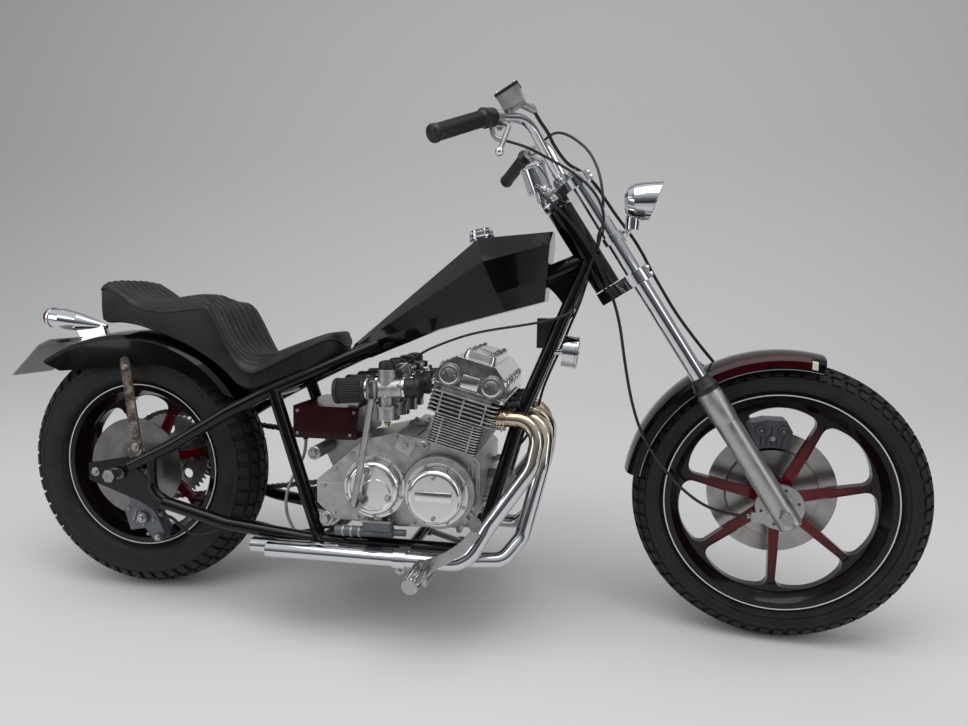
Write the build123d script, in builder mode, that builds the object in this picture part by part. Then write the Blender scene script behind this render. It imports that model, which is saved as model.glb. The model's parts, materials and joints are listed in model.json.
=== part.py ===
from build123d import *
import os
from math import asin, atan2, cos, degrees, pi, radians, sin, sqrt, tan

os.makedirs("parts", exist_ok=True)

# A rigid-frame custom motorcycle with an open four-cylinder engine, in millimetres
# and degrees. It is drawn upright and straight ahead, +X forward, +Y to its left
# and +Z up, with its origin on the ground half way between the axles. Each piece is
# turned and moved to the parked position when it is written at the end.
WHEELBASE = 1600
RAKE = 33
FORK_OFFSET = 70
LEAN = 8
STEER = -4

REAR_AXLE = Vector(-WHEELBASE / 2, 0, 328)
FRONT_AXLE = Vector(WHEELBASE / 2, 0, 326)
STEER_UP = Vector(-sin(radians(RAKE)), 0, cos(radians(RAKE)))
STEER_FORWARD = Vector(cos(radians(RAKE)), 0, sin(radians(RAKE)))
STEER_BASE = FRONT_AXLE - STEER_FORWARD * FORK_OFFSET
STEER_AXIS = Axis(STEER_BASE, STEER_UP)

# Columns: outer radius, half width, shoulder radius, bead radius, rim half width,
# flange radius, spoke width at the hub and at the rim.
WHEELS = {
    "front": (326, 48, 298, 245, 30, 254, 40, 26),
    "rear": (328, 66, 290, 207, 42, 216, 44, 30),
}
SPOKES = 7
AXLE_RADIUS = 10
RUNNING_FIT = 0.05

# The crank, and the plane of the cylinders, which lean forward from it.
CRANK = Vector(34, 0, 337)
CYLINDER_LEAN = 15
CYLINDERS = Plane(
    origin=CRANK,
    x_dir=(cos(radians(CYLINDER_LEAN)), 0, -sin(radians(CYLINDER_LEAN))),
    z_dir=(sin(radians(CYLINDER_LEAN)), 0, cos(radians(CYLINDER_LEAN))),
)
BORES = (-122, -44, 44, 122)
GEARBOX_SPROCKET = Vector(-195, 84, 345)
CHAIN_LINE = 84


def steering(up):
    """The plane square to the steering axis, so far up it from the front axle."""
    return Plane(
        origin=STEER_BASE + STEER_UP * up, x_dir=STEER_FORWARD, z_dir=STEER_UP
    )


def side(y):
    """The side view plane at this Y, its own x along +X and its own y along +Z."""
    return Plane(origin=(0, y, 0), x_dir=(1, 0, 0), z_dir=(0, -1, 0))


def across(x, z, y=0):
    """A plane square to Y with its origin at x, z and its normal to the right."""
    return Plane(origin=(x, y, z), x_dir=(1, 0, 0), z_dir=(0, -1, 0))


def run_tube(points, diameter, bends=(), bore=0, mode=Mode.ADD):
    """A round tube along straight runs joined by arcs of the given radii."""
    with BuildLine() as path:
        if len(points) == 2:
            Line(*points)
        else:
            FilletPolyline(*points, radius=bends)
    with BuildSketch(Plane(origin=path.line @ 0, z_dir=path.line % 0)) as ring:
        Circle(diameter / 2)
        if bore:
            Circle(bore / 2, mode=Mode.SUBTRACT)
    sweep(sections=ring.sketch, path=path.line, mode=mode)


def cord(points, diameter):
    """A cord's plain tube: straight runs joined by arcs as wide as the runs allow."""
    corners = [Vector(point) for point in points]
    bends = []
    for before, corner, after in zip(corners, corners[1:], corners[2:]):
        first = corner - before
        second = after - corner
        shorter = min(first.length, second.length)
        bends.append(0.45 * shorter / tan(radians(first.get_angle(second)) / 2))
    with BuildPart() as tube:
        run_tube(corners, diameter, bends)
    print("cord", diameter, "tightest bend", min(bends))
    return tube.part


def with_bars(point):
    """A point that turns with the handlebar, as it lies when the bike is parked."""
    return STEER_BASE + turned(Vector(*point) - STEER_BASE, STEER_UP, STEER)


def flip(points):
    """The same route on the bike's other side."""
    return [(x, -y, z) for x, y, z in points]


def flat_bar(start, end, width, thickness, facing=(0, 1, 0)):
    """A flat bar with rounded ends between two points, its faces turned to a direction."""
    run = Vector(end) - Vector(start)
    normal = run.cross(Vector(facing)).cross(run)
    middle = (Vector(start) + Vector(end)) * 0.5
    with BuildSketch(Plane(origin=middle, x_dir=run, z_dir=normal)) as bar:
        SlotCenterToCenter(run.length, width)
    extrude(bar.sketch, amount=thickness / 2, both=True)


def tyre_side(name):
    """One side of a tyre's section, from its crown to its bead: radius and Y."""
    outer, half, shoulder, bead, rim = WHEELS[name][:5]
    return [(outer - 1, half * 0.36), (shoulder + 2, half), (bead, rim - 1)]


# Parking: the steered pieces turn on their axis, the whole bike leans on its stand,
# and a slight pitch sets both tyres' treads on the ground.
def lowest(centre, axle, name):
    """The lowest height of a tyre whose axle points along a unit vector."""
    upright = sqrt(1 - axle.Z**2)
    return min(centre.Z - radius * upright - abs(y * axle.Z) for radius, y in tyre_side(name))


def turned(vector, axis, angle):
    """A vector turned about an axis through the origin."""
    return vector.rotate(Axis((0, 0, 0), axis), angle)


def parked_turn(vector, pitch=0):
    """A direction or a point, leaned and pitched about the origin."""
    return turned(turned(vector, (1, 0, 0), -LEAN), (0, 1, 0), pitch)


LATERAL = Vector(0, 1, 0)
FRONT_LATERAL = turned(LATERAL, STEER_UP, STEER)
FRONT_PARKED = STEER_BASE + turned(FRONT_AXLE - STEER_BASE, STEER_UP, STEER)
PITCH = 0
for _ in range(3):
    rear_low = lowest(parked_turn(REAR_AXLE, PITCH), parked_turn(LATERAL, PITCH), "rear")
    front_low = lowest(
        parked_turn(FRONT_PARKED, PITCH), parked_turn(FRONT_LATERAL, PITCH), "front"
    )
    PITCH += degrees(asin((front_low - rear_low) / WHEELBASE))
PARKED = Location((0, 0, -rear_low)) * Location((0, 0, 0), (0, PITCH, 0)) * Location(
    (0, 0, 0), (-LEAN, 0, 0)
)
GROUND = Plane(PARKED.inverse())

bodies = {
    "chassis": [],
    "steering": [],
    "front_wheel": [],
    "rear_wheel": [],
    "side_stand": [],
}


def finished(piece, name, body):
    """Label a finished piece and keep it with the body that it moves with."""
    piece.label = name
    bodies[body].append(piece)


# Wheels, each drawn round its own axle on the Y axis.
def make_tyre(name):
    side_points = tyre_side(name)
    with BuildPart() as tyre:
        with BuildSketch(Plane.XY):
            Polygon(*side_points, *[(radius, -y) for radius, y in reversed(side_points)], align=None)
        revolve(axis=Axis.Y)
    return tyre.part


SPOKE_HALF = 11
POCKET = 4


def make_rim(name, hub_radius, hub_right, hub_left):
    """A rim with cast spokes: a web with rounded windows, pocketed along each spoke."""
    bead, rim, flange, wide, narrow = WHEELS[name][3:]
    seat = bead - 0.3
    outer_corner = seat - 30
    inner_corner = hub_radius + 16
    half_step = radians(180 / SPOKES)
    with BuildSketch() as window:
        with BuildLine():
            corners = [
                (
                    radius * cos(half_step) - width / 2 * sin(half_step),
                    radius * sin(half_step) - width / 2 * cos(half_step),
                )
                for radius, width in ((outer_corner, narrow), (inner_corner, wide))
            ]
            ThreePointArc(corners[0], (outer_corner + 4, 0), (corners[0][0], -corners[0][1]))
            Polyline(
                (corners[0][0], -corners[0][1]), (corners[1][0], -corners[1][1]), corners[1], corners[0],
            )
        make_face()
        fillet(window.vertices().group_by(Axis.X)[-1], 22)
        fillet(window.vertices().group_by(Axis.X)[0], 6)
    with BuildPart() as wheel:
        with BuildSketch(Plane.XY):
            with BuildLine():
                Polyline(
                    (flange, rim + 6), (flange, rim + 4), (seat, rim), (seat - 14, rim * 0.4),
                    (seat - 14, -rim * 0.4), (seat, -rim), (flange, -rim - 4), (flange, -rim - 6),
                    (seat - 8, -rim - 6), (seat - 24, -rim * 0.5),
                    (seat - 24, rim * 0.5), (seat - 8, rim + 6), close=True,
                )
            make_face()
        revolve(axis=Axis.Y)
        with BuildSketch(Plane.XZ):
            Circle(seat - 18)
            with PolarLocations(0, SPOKES, start_angle=-90 + 180 / SPOKES):
                add(window.sketch, mode=Mode.SUBTRACT)
        extrude(amount=SPOKE_HALF, both=True)
        for face in (SPOKE_HALF, -SPOKE_HALF):
            with BuildSketch(Plane.XZ.offset(face)):
                with PolarLocations(0, SPOKES, start_angle=-90):
                    Polygon(
                        (hub_radius + 12, -wide / 2 + 7), (seat - 42, -narrow / 2 + 6),
                        (seat - 42, narrow / 2 - 6), (hub_radius + 12, wide / 2 - 7), align=None,
                    )
            extrude(amount=-POCKET if face > 0 else POCKET, mode=Mode.SUBTRACT)
        with BuildSketch(Plane.XZ.offset(-hub_left)):
            Circle(hub_radius)
        extrude(amount=hub_left + hub_right)
        with BuildSketch(Plane.XZ.offset(-hub_left)):
            Circle(AXLE_RADIUS + RUNNING_FIT)
        extrude(amount=hub_left + hub_right, mode=Mode.SUBTRACT)
    return wheel.part


# The hub's reach to the right and to the left of the centre plane.
FRONT_HUB = (45, 48)
REAR_HUB = (52, 58)
FRONT_DISC_Y = 62
REAR_DISC_Y = -65
FRONT_DISC_RADIUS = 148
REAR_DISC_RADIUS = 128
DISC_THICKNESS = 5
SPROCKET_TEETH = (18, 48)
CHAIN_PITCH = 15.875
PLATE_HEIGHT = 13


def make_disc(radius, y, hub_face):
    """A brake disc ring on its carrier, between the hub's face and the disc's plane."""
    half = DISC_THICKNESS / 2
    toward = 1 if y > 0 else -1
    with BuildPart() as disc:
        with BuildSketch(Plane.XY):
            with BuildLine():
                Polyline(
                    (AXLE_RADIUS + 14, hub_face), (radius - 44, hub_face + toward * 2),
                    (radius - 40, y - half * toward), (radius, y - half * toward),
                    (radius, y + half * toward), (radius - 52, y + half * toward),
                    (AXLE_RADIUS + 14, hub_face + toward * 8), close=True,
                )
            make_face()
        revolve(axis=Axis.Y)
    return disc.part


def pitch_radius(teeth):
    return CHAIN_PITCH / 2 / sin(pi / teeth)


def sprocket_radius(teeth):
    """A sprocket's body, just inside the chain's plates."""
    return pitch_radius(teeth) * cos(pi / teeth) - PLATE_HEIGHT / 2 - 0.8


def at(part, axle):
    """A wheel's piece moved out to its axle."""
    return part.moved(Location(axle))


finished(at(make_tyre("front"), FRONT_AXLE), "front_tyre", "front_wheel")
finished(at(make_rim("front", 36, *FRONT_HUB), FRONT_AXLE), "front_rim", "front_wheel")
front_disc = make_disc(FRONT_DISC_RADIUS, FRONT_DISC_Y, FRONT_HUB[1])
finished(at(front_disc, FRONT_AXLE), "front_disc", "front_wheel")
finished(at(make_tyre("rear"), REAR_AXLE), "rear_tyre", "rear_wheel")
finished(at(make_rim("rear", 44, *REAR_HUB), REAR_AXLE), "rear_rim", "rear_wheel")
rear_disc = make_disc(REAR_DISC_RADIUS, REAR_DISC_Y, -REAR_HUB[0])
finished(at(rear_disc, REAR_AXLE), "rear_disc", "rear_wheel")

with BuildPart() as rear_sprocket:
    with BuildSketch(side(CHAIN_LINE + 3.5)):
        Circle(sprocket_radius(SPROCKET_TEETH[1]))
        Circle(26, mode=Mode.SUBTRACT)
        with PolarLocations(74, 8):
            Circle(14, mode=Mode.SUBTRACT)
    extrude(amount=7)
    with BuildSketch(side(CHAIN_LINE - 3.5)):
        Circle(52)
        Circle(26, mode=Mode.SUBTRACT)
    extrude(amount=CHAIN_LINE - 3.5 - REAR_HUB[1])
finished(at(rear_sprocket.part, REAR_AXLE), "rear_sprocket", "rear_wheel")

# Frame: welded tubes, each pair in its own piece.
HEAD_TUBE = (625, 840)
HEAD_TUBE_RADIUS = 31
TUBE = 32
RAIL_Z = 190
RAIL_Y = 120
with BuildPart() as head_tube:
    with BuildSketch(steering(HEAD_TUBE[0])):
        Circle(HEAD_TUBE_RADIUS)
    extrude(amount=HEAD_TUBE[1] - HEAD_TUBE[0])
    run_tube([(340, 0, 870), (-190, 0, 647)], 45)
    with BuildSketch(side(4)):
        with BuildLine():
            Polyline((348, 872), (312, 862), (262, 834), (240, 822))
            ThreePointArc((240, 822), (285, 785), (312, 730))
            Line((312, 730), (322, 742))
            Line((322, 742), (348, 872))
        make_face()
    extrude(amount=8)
    with BuildSketch(steering(HEAD_TUBE[0] - 1)):
        Circle(24)
    extrude(amount=HEAD_TUBE[1] - HEAD_TUBE[0] + 2, mode=Mode.SUBTRACT)

DOWNTUBE = [(352, -24, 868), (205, -84, 500), (128, -114, 222), (90, -RAIL_Y, RAIL_Z)]
with BuildPart() as frame_downtubes:
    run_tube(DOWNTUBE[:3], TUBE - 2, [300])
    mirror(about=Plane.XZ)
    add(head_tube.part, mode=Mode.SUBTRACT)
    with BuildSketch(steering(HEAD_TUBE[0] - 10)):
        Circle(26)
    extrude(amount=HEAD_TUBE[1] - HEAD_TUBE[0] + 20, mode=Mode.SUBTRACT)

AXLE_SLOT = (44, 2 * (AXLE_RADIUS + 4))
STAND_PIVOT = Vector(-60, 116, 150)
STAND_FOOT = GROUND.from_local_coords(Vector(-10, 333, 0))
STAND_LEG = (STAND_FOOT - STAND_PIVOT).normalized()
STAND_STOWED = Vector(-1, 0.05, 0.02).normalized()
STAND_AXIS = STAND_LEG.cross(STAND_STOWED).normalized()
STAND_PIN = 6
EYE = 12
EYE_GAP = 0.4
STAND_SWING = Plane(
    origin=STAND_PIVOT - STAND_AXIS * (EYE / 2), x_dir=STAND_LEG, z_dir=STAND_AXIS
)
with BuildPart() as frame_lower_rails:
    run_tube(
        [DOWNTUBE[2], DOWNTUBE[3], (-296, -RAIL_Y, RAIL_Z), (-508, -132, 217), (-672, -140, 262)],
        TUBE, [30, 200, 200],
    )
    with BuildSketch(side(-136)):
        with BuildLine():
            Polyline(
                (-876, 308), (-672, 240), (-650, 262), (-728, 330),
                (-770, 372), (-876, 352), close=True,
            )
        make_face()
        with Locations((REAR_AXLE.X, REAR_AXLE.Z)):
            SlotOverall(*AXLE_SLOT, mode=Mode.SUBTRACT)
    extrude(amount=8)
    mirror(about=Plane.XZ)
    for x in (-40, -262):
        run_tube([(x, -RAIL_Y, RAIL_Z), (x, RAIL_Y, RAIL_Z)], 26)
    add(frame_downtubes.part, mode=Mode.SUBTRACT)
    with BuildSketch(side(122)):
        Polygon((-72, 140), (-48, 140), (-40, 184), (-80, 184), align=None)
    extrude(amount=22)
    with BuildSketch(STAND_SWING.offset(-6.4)):
        Circle(12)
    extrude(amount=EYE + 12.8)
    with BuildSketch(STAND_SWING.offset(-EYE_GAP)):
        Circle(20)
        Circle(STAND_PIN, mode=Mode.SUBTRACT)
    extrude(amount=EYE + 2 * EYE_GAP, mode=Mode.SUBTRACT)

UPPER_RAIL = [(-150, -30, 664), (-408, -110, 545), (-508, -124, 493), (-646, -134, 409), (-760, -140, 352)]
DROPOUT_BEND = [(-668, -136, 396), (-704, -138, 372), (-704, -138, 286), (-640, -138, 252)]
with BuildPart() as frame_upper_rails:
    run_tube(UPPER_RAIL, TUBE, [250, 300, 300])
    run_tube(DROPOUT_BEND, 22, [20, 44])
    mirror(about=Plane.XZ)
    run_tube([(-430, -112, 533), (-430, 112, 533)], 26)
    add(head_tube.part, mode=Mode.SUBTRACT)
    add(frame_lower_rails.part, mode=Mode.SUBTRACT)

with BuildPart() as frame_seat_tubes:
    run_tube([(-393, -108, 552), (-268, -122, RAIL_Z)], TUBE)
    mirror(about=Plane.XZ)
    flat_bar((-306, -112, 300), (-278, -96, 300), 32, 8)
    add(frame_upper_rails.part, mode=Mode.SUBTRACT)
    add(frame_lower_rails.part, mode=Mode.SUBTRACT)

for piece, name in (
    (head_tube, "head_tube"),
    (frame_downtubes, "frame_downtubes"),
    (frame_lower_rails, "frame_lower_rails"),
    (frame_upper_rails, "frame_upper_rails"),
    (frame_seat_tubes, "frame_seat_tubes"),
):
    finished(piece.part, name, "chassis")

with BuildPart() as rear_axle:
    with BuildSketch(across(REAR_AXLE.X, REAR_AXLE.Z, 173)):
        Circle(AXLE_RADIUS)
    extrude(amount=346)
    for y, length in ((173, 14), (-159, 14)):
        with BuildSketch(across(REAR_AXLE.X, REAR_AXLE.Z, y)):
            RegularPolygon(17, 6)
        extrude(amount=length)
    for y, length in ((136, 40), (-70, 66)):
        with BuildSketch(across(REAR_AXLE.X, REAR_AXLE.Z, y)):
            Circle(15)
        extrude(amount=length)
finished(rear_axle.part, "rear_axle", "chassis")

# Engine.
CLUTCH_CABLE_END = (146, 60, 378)
BLOCK_HALF = 168
FIN = 3
# Columns: x, z, radius and left end of the mounting lugs across the crankcase.
LUGS = ((-274, 408, 16, 72), (-244, 250, 18, 72), (96, 272, 18, 112))
LUG_RIGHT = -140
with BuildPart() as crankcase:
    with BuildSketch(side(72)):
        with BuildLine():
            Polyline(
                (126, 330), (126, 405), (112, 419), (3, 452), (-73, 465), (-150, 446),
                (-268, 345), (-268, 290), (-225, 252), (-60, 244), (70, 250), (112, 282), close=True,
            )
        make_face()
    extrude(amount=212)
    with BuildSketch(side(140)):
        with BuildLine():
            Polyline(
                (126, 330), (126, 405), (112, 419), (3, 452), (-73, 465), (-110, 440),
                (-110, 248), (-60, 244), (70, 250), (112, 282), close=True,
            )
        make_face()
    extrude(amount=68)
    with BuildSketch(across(CRANK.X, CRANK.Z, 165)):
        Circle(84)
    extrude(amount=330)
    split(bisect_by=CYLINDERS.offset(104), keep=Keep.BOTTOM)
    with BuildSketch(Plane(origin=(100, 0, 318), z_dir=(1, 0, 0))):
        Circle(42)
    extrude(amount=86, taper=4)
    with BuildSketch(side(-30)):
        Polygon((-88, 440), (-84, 462), (-28, 462), (-22, 440), align=None)
    extrude(amount=92)
    with BuildSketch(side(34)):
        Polygon((-140, 446), (-268, 424), (-290, 404), (-262, 345), align=None)
    extrude(amount=80)
    for x, z, radius, left in LUGS:
        with BuildSketch(across(x, z, left)):
            Circle(radius)
        extrude(amount=left - LUG_RIGHT)
    with BuildSketch(across(GEARBOX_SPROCKET.X, GEARBOX_SPROCKET.Z, CHAIN_LINE + 3.5)):
        Circle(sprocket_radius(SPROCKET_TEETH[0]))
    extrude(amount=7)
    with BuildSketch(across(GEARBOX_SPROCKET.X, GEARBOX_SPROCKET.Z, CHAIN_LINE - 3.5)):
        Circle(20)
    extrude(amount=CHAIN_LINE - 3.5 - 72)
    run_tube([(119, 56.85, 363.15), CLUTCH_CABLE_END], 15)
    add(frame_seat_tubes.part, mode=Mode.SUBTRACT)

with BuildPart() as cylinder_block:
    with BuildSketch(CYLINDERS.offset(104)):
        Rectangle(92, 2 * BLOCK_HALF - 30)
    extrude(amount=72)
    for fin in range(11):
        with BuildSketch(CYLINDERS.offset(107 + 6.4 * fin)):
            RectangleRounded(116, 2 * BLOCK_HALF - 4, 14)
        extrude(amount=FIN)

# The exhaust ports on the right, as y and z, and the round pockets in the fins about them.
PORT_X = 150
PORTS = ((-120, 508), (-44, 503))
POCKET_DIAMETER = 62
with BuildPart() as cylinder_head:
    for fin in range(6):
        with BuildSketch(CYLINDERS.offset(178 + 9.6 * fin)):
            RectangleRounded(160, 2 * BLOCK_HALF, 20)
        extrude(amount=FIN)
    for y, z in PORTS:
        for mirrored in (y, -y):
            run_tube([(PORT_X - 30, mirrored, z), (PORT_X + 30, mirrored, z)], POCKET_DIAMETER, mode=Mode.SUBTRACT)
    with BuildSketch(CYLINDERS.offset(176)):
        Rectangle(120, 2 * BLOCK_HALF - 24)
    extrude(amount=60)

# The cam cover's outline seen along the crank, then its raised middle and its cam ends,
# with heights measured along the cylinders from the crank.
CAM_COVER_Y = 150
CAM_HEIGHT = 268
CAM_SPREAD = 50
with BuildPart() as cam_cover:
    with BuildSketch(Plane(CYLINDERS.origin, x_dir=CYLINDERS.x_dir, z_dir=(0, -1, 0))) as cam_outline:
        Polygon(
            (-86, 236), (86, 236), (86, 258), (70, 292), (46, 312),
            (-46, 312), (-70, 292), (-86, 258), align=None,
        )
        fillet(cam_outline.vertices().group_by(Axis.Z)[1:], 9)
    extrude(amount=CAM_COVER_Y, both=True)
    with BuildSketch(CYLINDERS.offset(300)):
        RectangleRounded(84, 2 * CAM_COVER_Y - 70, 18)
    extrude(amount=28, taper=12)
    with BuildSketch(Plane(CYLINDERS.origin, x_dir=CYLINDERS.x_dir, z_dir=(0, -1, 0))):
        with Locations((-CAM_SPREAD, CAM_HEIGHT), (CAM_SPREAD, CAM_HEIGHT)):
            Circle(25)
    extrude(amount=CAM_COVER_Y + 9, both=True)
    with BuildSketch(CYLINDERS.offset(236)):
        RectangleRounded(176, 2 * CAM_COVER_Y + 14, 12)
    extrude(amount=8)

for piece, name in (
    (crankcase, "crankcase"),
    (cylinder_block, "cylinder_block"),
    (cylinder_head, "cylinder_head"),
    (cam_cover, "cam_cover"),
):
    finished(piece.part, name, "chassis")

# Round side covers, each a flanged base under a domed lid. Columns: name, x, z, first y,
# flange thickness, lid radius, last y.
COVERS = (
    ("clutch_cover", -116, 343, -140, -28, 63, -190),
    ("ignition_cover", CRANK.X, CRANK.Z, -165, -16, 63, -210),
    ("alternator_cover", CRANK.X, CRANK.Z, 165, 20, 66, 205),
)
FLANGE = 10
for name, x, z, first, flange, radius, last in COVERS:
    toward = 1 if last > 0 else -1
    with BuildPart() as cover:
        with BuildSketch(Plane((x, first, z), x_dir=(1, 0, 0), z_dir=(0, toward, 0))):
            Circle(radius + FLANGE)
        extrude(amount=abs(flange))
        with BuildSketch(Plane((x, first, z), x_dir=(1, 0, 0), z_dir=(0, toward, 0))):
            Circle(radius)
        extrude(amount=abs(last - first))
        fillet(cover.edges().filter_by(GeomType.CIRCLE).sort_by(Axis.Y)[-1 if toward > 0 else 0], 12)
        add(crankcase.part, mode=Mode.SUBTRACT)
    finished(cover.part, name, "chassis")

with BuildPart() as sprocket_cover:
    with BuildSketch(side(138)):
        with BuildLine():
            Polyline((-112, 270), (-112, 430), (-190, 430), (-262, 392), (-262, 290), (-220, 270), close=True)
        make_face()
    extrude(amount=66)
    with BuildSketch(side(112)):
        with Locations((GEARBOX_SPROCKET.X, GEARBOX_SPROCKET.Z)):
            Circle(60)
            with Locations((-60, 0)):
                Rectangle(120, 150)
    extrude(amount=42, mode=Mode.SUBTRACT)
finished(sprocket_cover.part, "sprocket_cover", "chassis")

# Chain: a fixed loop round both sprockets, whose joints lie on the sprockets' pitch
# circles and on the straight runs between them.
CHAIN_LINKS = 110
INNER_WIDTH = 12
OUTER_WIDTH = 18


def chain_point(part_way):
    """A point on the pitch line, and its heading, at a share of the way round the loop."""
    small, large = (pitch_radius(teeth) for teeth in SPROCKET_TEETH)
    run_vector = GEARBOX_SPROCKET - Vector(REAR_AXLE.X, GEARBOX_SPROCKET.Y, REAR_AXLE.Z)
    rise = atan2(run_vector.Z, run_vector.X)
    fall = asin((large - small) / run_vector.length)
    straight = run_vector.length * cos(fall)
    wrap_small = small * (pi - 2 * fall)
    wrap_large = large * (pi + 2 * fall)
    travel = part_way * (2 * straight + wrap_small + wrap_large)
    top = rise + pi / 2 - fall
    bottom = rise - pi / 2 + fall
    if travel < straight:
        start, angle, radius = REAR_AXLE, top, large
        along = travel
    elif travel < straight + wrap_small:
        start, radius, along = GEARBOX_SPROCKET, small, 0
        angle = top - (travel - straight) / small
    elif travel < 2 * straight + wrap_small:
        start, angle, radius = GEARBOX_SPROCKET, bottom, small
        along = travel - straight - wrap_small
    else:
        start, radius, along = REAR_AXLE, large, 0
        angle = bottom - (travel - 2 * straight - wrap_small) / large
    x = start.X + radius * cos(angle) + along * sin(angle)
    z = start.Z + radius * sin(angle) - along * cos(angle)
    return x, z, degrees(angle) - 90


JOINTS = [chain_point(link / CHAIN_LINKS)[:2] for link in range(CHAIN_LINKS)]
with BuildPart() as chain:
    with BuildSketch(side(CHAIN_LINE)):
        Polygon(*JOINTS, align=None)
        offset(amount=PLATE_HEIGHT / 2 - 1, kind=Kind.INTERSECTION)
    extrude(amount=INNER_WIDTH / 2, both=True)
    with BuildSketch(side(CHAIN_LINE)):
        Polygon(*JOINTS, align=None)
        offset(amount=1 - PLATE_HEIGHT / 2, kind=Kind.INTERSECTION)
    extrude(amount=INNER_WIDTH / 2, both=True, mode=Mode.SUBTRACT)
    with BuildSketch(side(CHAIN_LINE)):
        for link in range(0, CHAIN_LINKS, 2):
            x, z, heading = chain_point((link + 0.5) / CHAIN_LINKS)
            with Locations(Location((x, z), heading)):
                Rectangle(CHAIN_PITCH * 1.6, PLATE_HEIGHT)
    extrude(amount=OUTER_WIDTH / 2, both=True)
finished(chain.part, "chain", "chassis")

with BuildPart() as kickstart_lever:
    run_tube([(-147, -196, 312), (-147, -224, 312), (-131, -226, 389), (-98, -240, 564)], 15, [10, 60])
    run_tube([(-98, -240, 560), (-98, -240, 596)], 26)
    with BuildSketch(across(-147, 312, -190)):
        Circle(17)
    extrude(amount=26)
    add(bodies["chassis"][-6], mode=Mode.SUBTRACT)
finished(kickstart_lever.part, "kickstart_lever", "chassis")

# Carburettors, their rubber boots and their pod filters, one for each bore.
def intake(x, y):
    """A point on the centre line of one bore's intake."""
    return (x, y, 556 + (x + 228) * 17 / 218)


THROTTLE_CABLE_END = (-62, -83, 624)
# Columns: radius, lowest and highest z of each carburettor's bowl, body, slide top and cap.
CARBURETTOR = ((24, 494, 524), (17, 520, 600), (22, 572, 612), (19, 612, 628))
with BuildPart() as carburettors:
    for y in BORES:
        run_tube([intake(-62, y), intake(-140, y)], 46)
        for radius, low, high in CARBURETTOR:
            with BuildSketch(Plane(origin=(-100, y, low), z_dir=(0, 0, 1))):
                Circle(radius)
            extrude(amount=high - low)
    run_tube([(-76, BORES[0], 604), (-76, BORES[-1], 604)], 10)
    flat_bar((-122, BORES[0], 540), (-122, BORES[-1], 540), 14, 5, facing=(1, 0, 0))
    run_tube([THROTTLE_CABLE_END, (-80, -83.6, 608.6)], 9)
with BuildPart() as air_filters:
    for y in BORES:
        run_tube([intake(-20, y), intake(-62, y)], 50)
        run_tube([intake(-140, y), intake(-228, y)], 62)
    add(cylinder_head.part, mode=Mode.SUBTRACT)
finished(carburettors.part, "carburettors", "chassis")
finished(air_filters.part, "air_filters", "chassis")

# Exhaust: each pipe bends down from its port to a clamp, then a straight open tail
# pipe runs back. Columns: centre line on the right as far as the clamp, its bend radii,
# and the x of the tail's end.
PIPE = 36
PIPE_BORE = 32
CLAMP_X = -44
OUTER_PIPE = [(PORT_X - 10, *PORTS[0]), (264, -126, 506), (244, -150, 400), (150, -172, 265), (105, -198, 187)]
INNER_PIPE = [
    (PORT_X - 10, *PORTS[1]), (272, -50, 500), (264, -86, 400), (222, -108, 228), (182, -142, 182),
    (80, -158, 180),
]
PIPES = (
    (OUTER_PIPE, (50, 90, 120, 60), -367),
    (INNER_PIPE, (55, 90, 40, 40, 80), -425),
)
with BuildPart() as exhaust_right:
    for route, bends, tail_x in PIPES:
        port, last = route[0], route[-1]
        joint = (CLAMP_X, last[1], last[2])
        run_tube([*route, joint], PIPE, bends, bore=PIPE_BORE)
        run_tube([joint, (tail_x, last[1], last[2])], PIPE, bore=PIPE_BORE)
        run_tube([(joint[0] + 14, *joint[1:]), (joint[0] - 14, *joint[1:])], PIPE + 8, bore=PIPE - 1)
        for ring in range(3):
            x = PORT_X + 12 + 7 * ring
            run_tube([(x, *port[1:]), (x + 4, *port[1:])], PIPE + 20, bore=PIPE - 1)
    add(cylinder_head.part, mode=Mode.SUBTRACT)
finished(exhaust_right.part, "exhaust_right", "chassis")
finished(exhaust_right.part.mirror(Plane.XZ), "exhaust_left", "chassis")

# Tank: flat facets between six-sided sections, over a tunnel for the backbone.
# Columns: x and z of the ridge, tilt of the section's plane from upright, then how far
# down that plane the crease, low crease and lower edge are, and the half widths of the
# ridge, crease, low crease and lower edge.
TANK = (
    (-226, 657, 24, (6, 11, 17), (8, 20, 28, 26)),
    (96, 921, 24, (65, 142, 187), (40, 132, 118, 104)),
    (272, 938, -5, (32, 108, 164), (30, 88, 70, 56)),
)
with BuildPart() as fuel_tank:
    for x, z, tilt, (crease, low, edge), (w0, w1, w2, w3) in TANK:
        facing = (cos(radians(tilt)), 0, sin(radians(tilt)))
        with BuildSketch(Plane(origin=(x, 0, z), x_dir=(0, 1, 0), z_dir=facing)):
            Polygon(
                (-w0, 0), (-w1, -crease), (-w2, -low), (-w3, -edge),
                (w3, -edge), (w2, -low), (w1, -crease), (w0, 0), align=None,
            )
    loft(ruled=True)
    run_tube([(340, 0, 870), (-260, 0, 617)], 52, mode=Mode.SUBTRACT)
    add(frame_upper_rails.part, mode=Mode.SUBTRACT)
finished(fuel_tank.part, "fuel_tank", "chassis")

with BuildPart() as filler_cap:
    run_tube([(102, 0, 905), (93, 0, 944)], 54)
    add(fuel_tank.part, mode=Mode.SUBTRACT)
finished(filler_cap.part, "filler_cap", "chassis")

# Rear mudguard: a channel swept over the tyre with a flatter tail, its sides trimmed to
# the outline of their lower edge.
FENDER_RADIUS = 356
TAIL_RADIUS = 468
FENDER_START = 33
FENDER_TAIL = 35
TAIL_CENTRE = (REAR_AXLE.X, REAR_AXLE.Z + FENDER_RADIUS - TAIL_RADIUS)
FENDER_EDGE = (
    (-504, 517), (-605, 562), (-680, 593), (-768, 606), (-860, 588), (-997, 575), (-1069, 604),
    (-1120, 700), (-500, 720),
)


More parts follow.
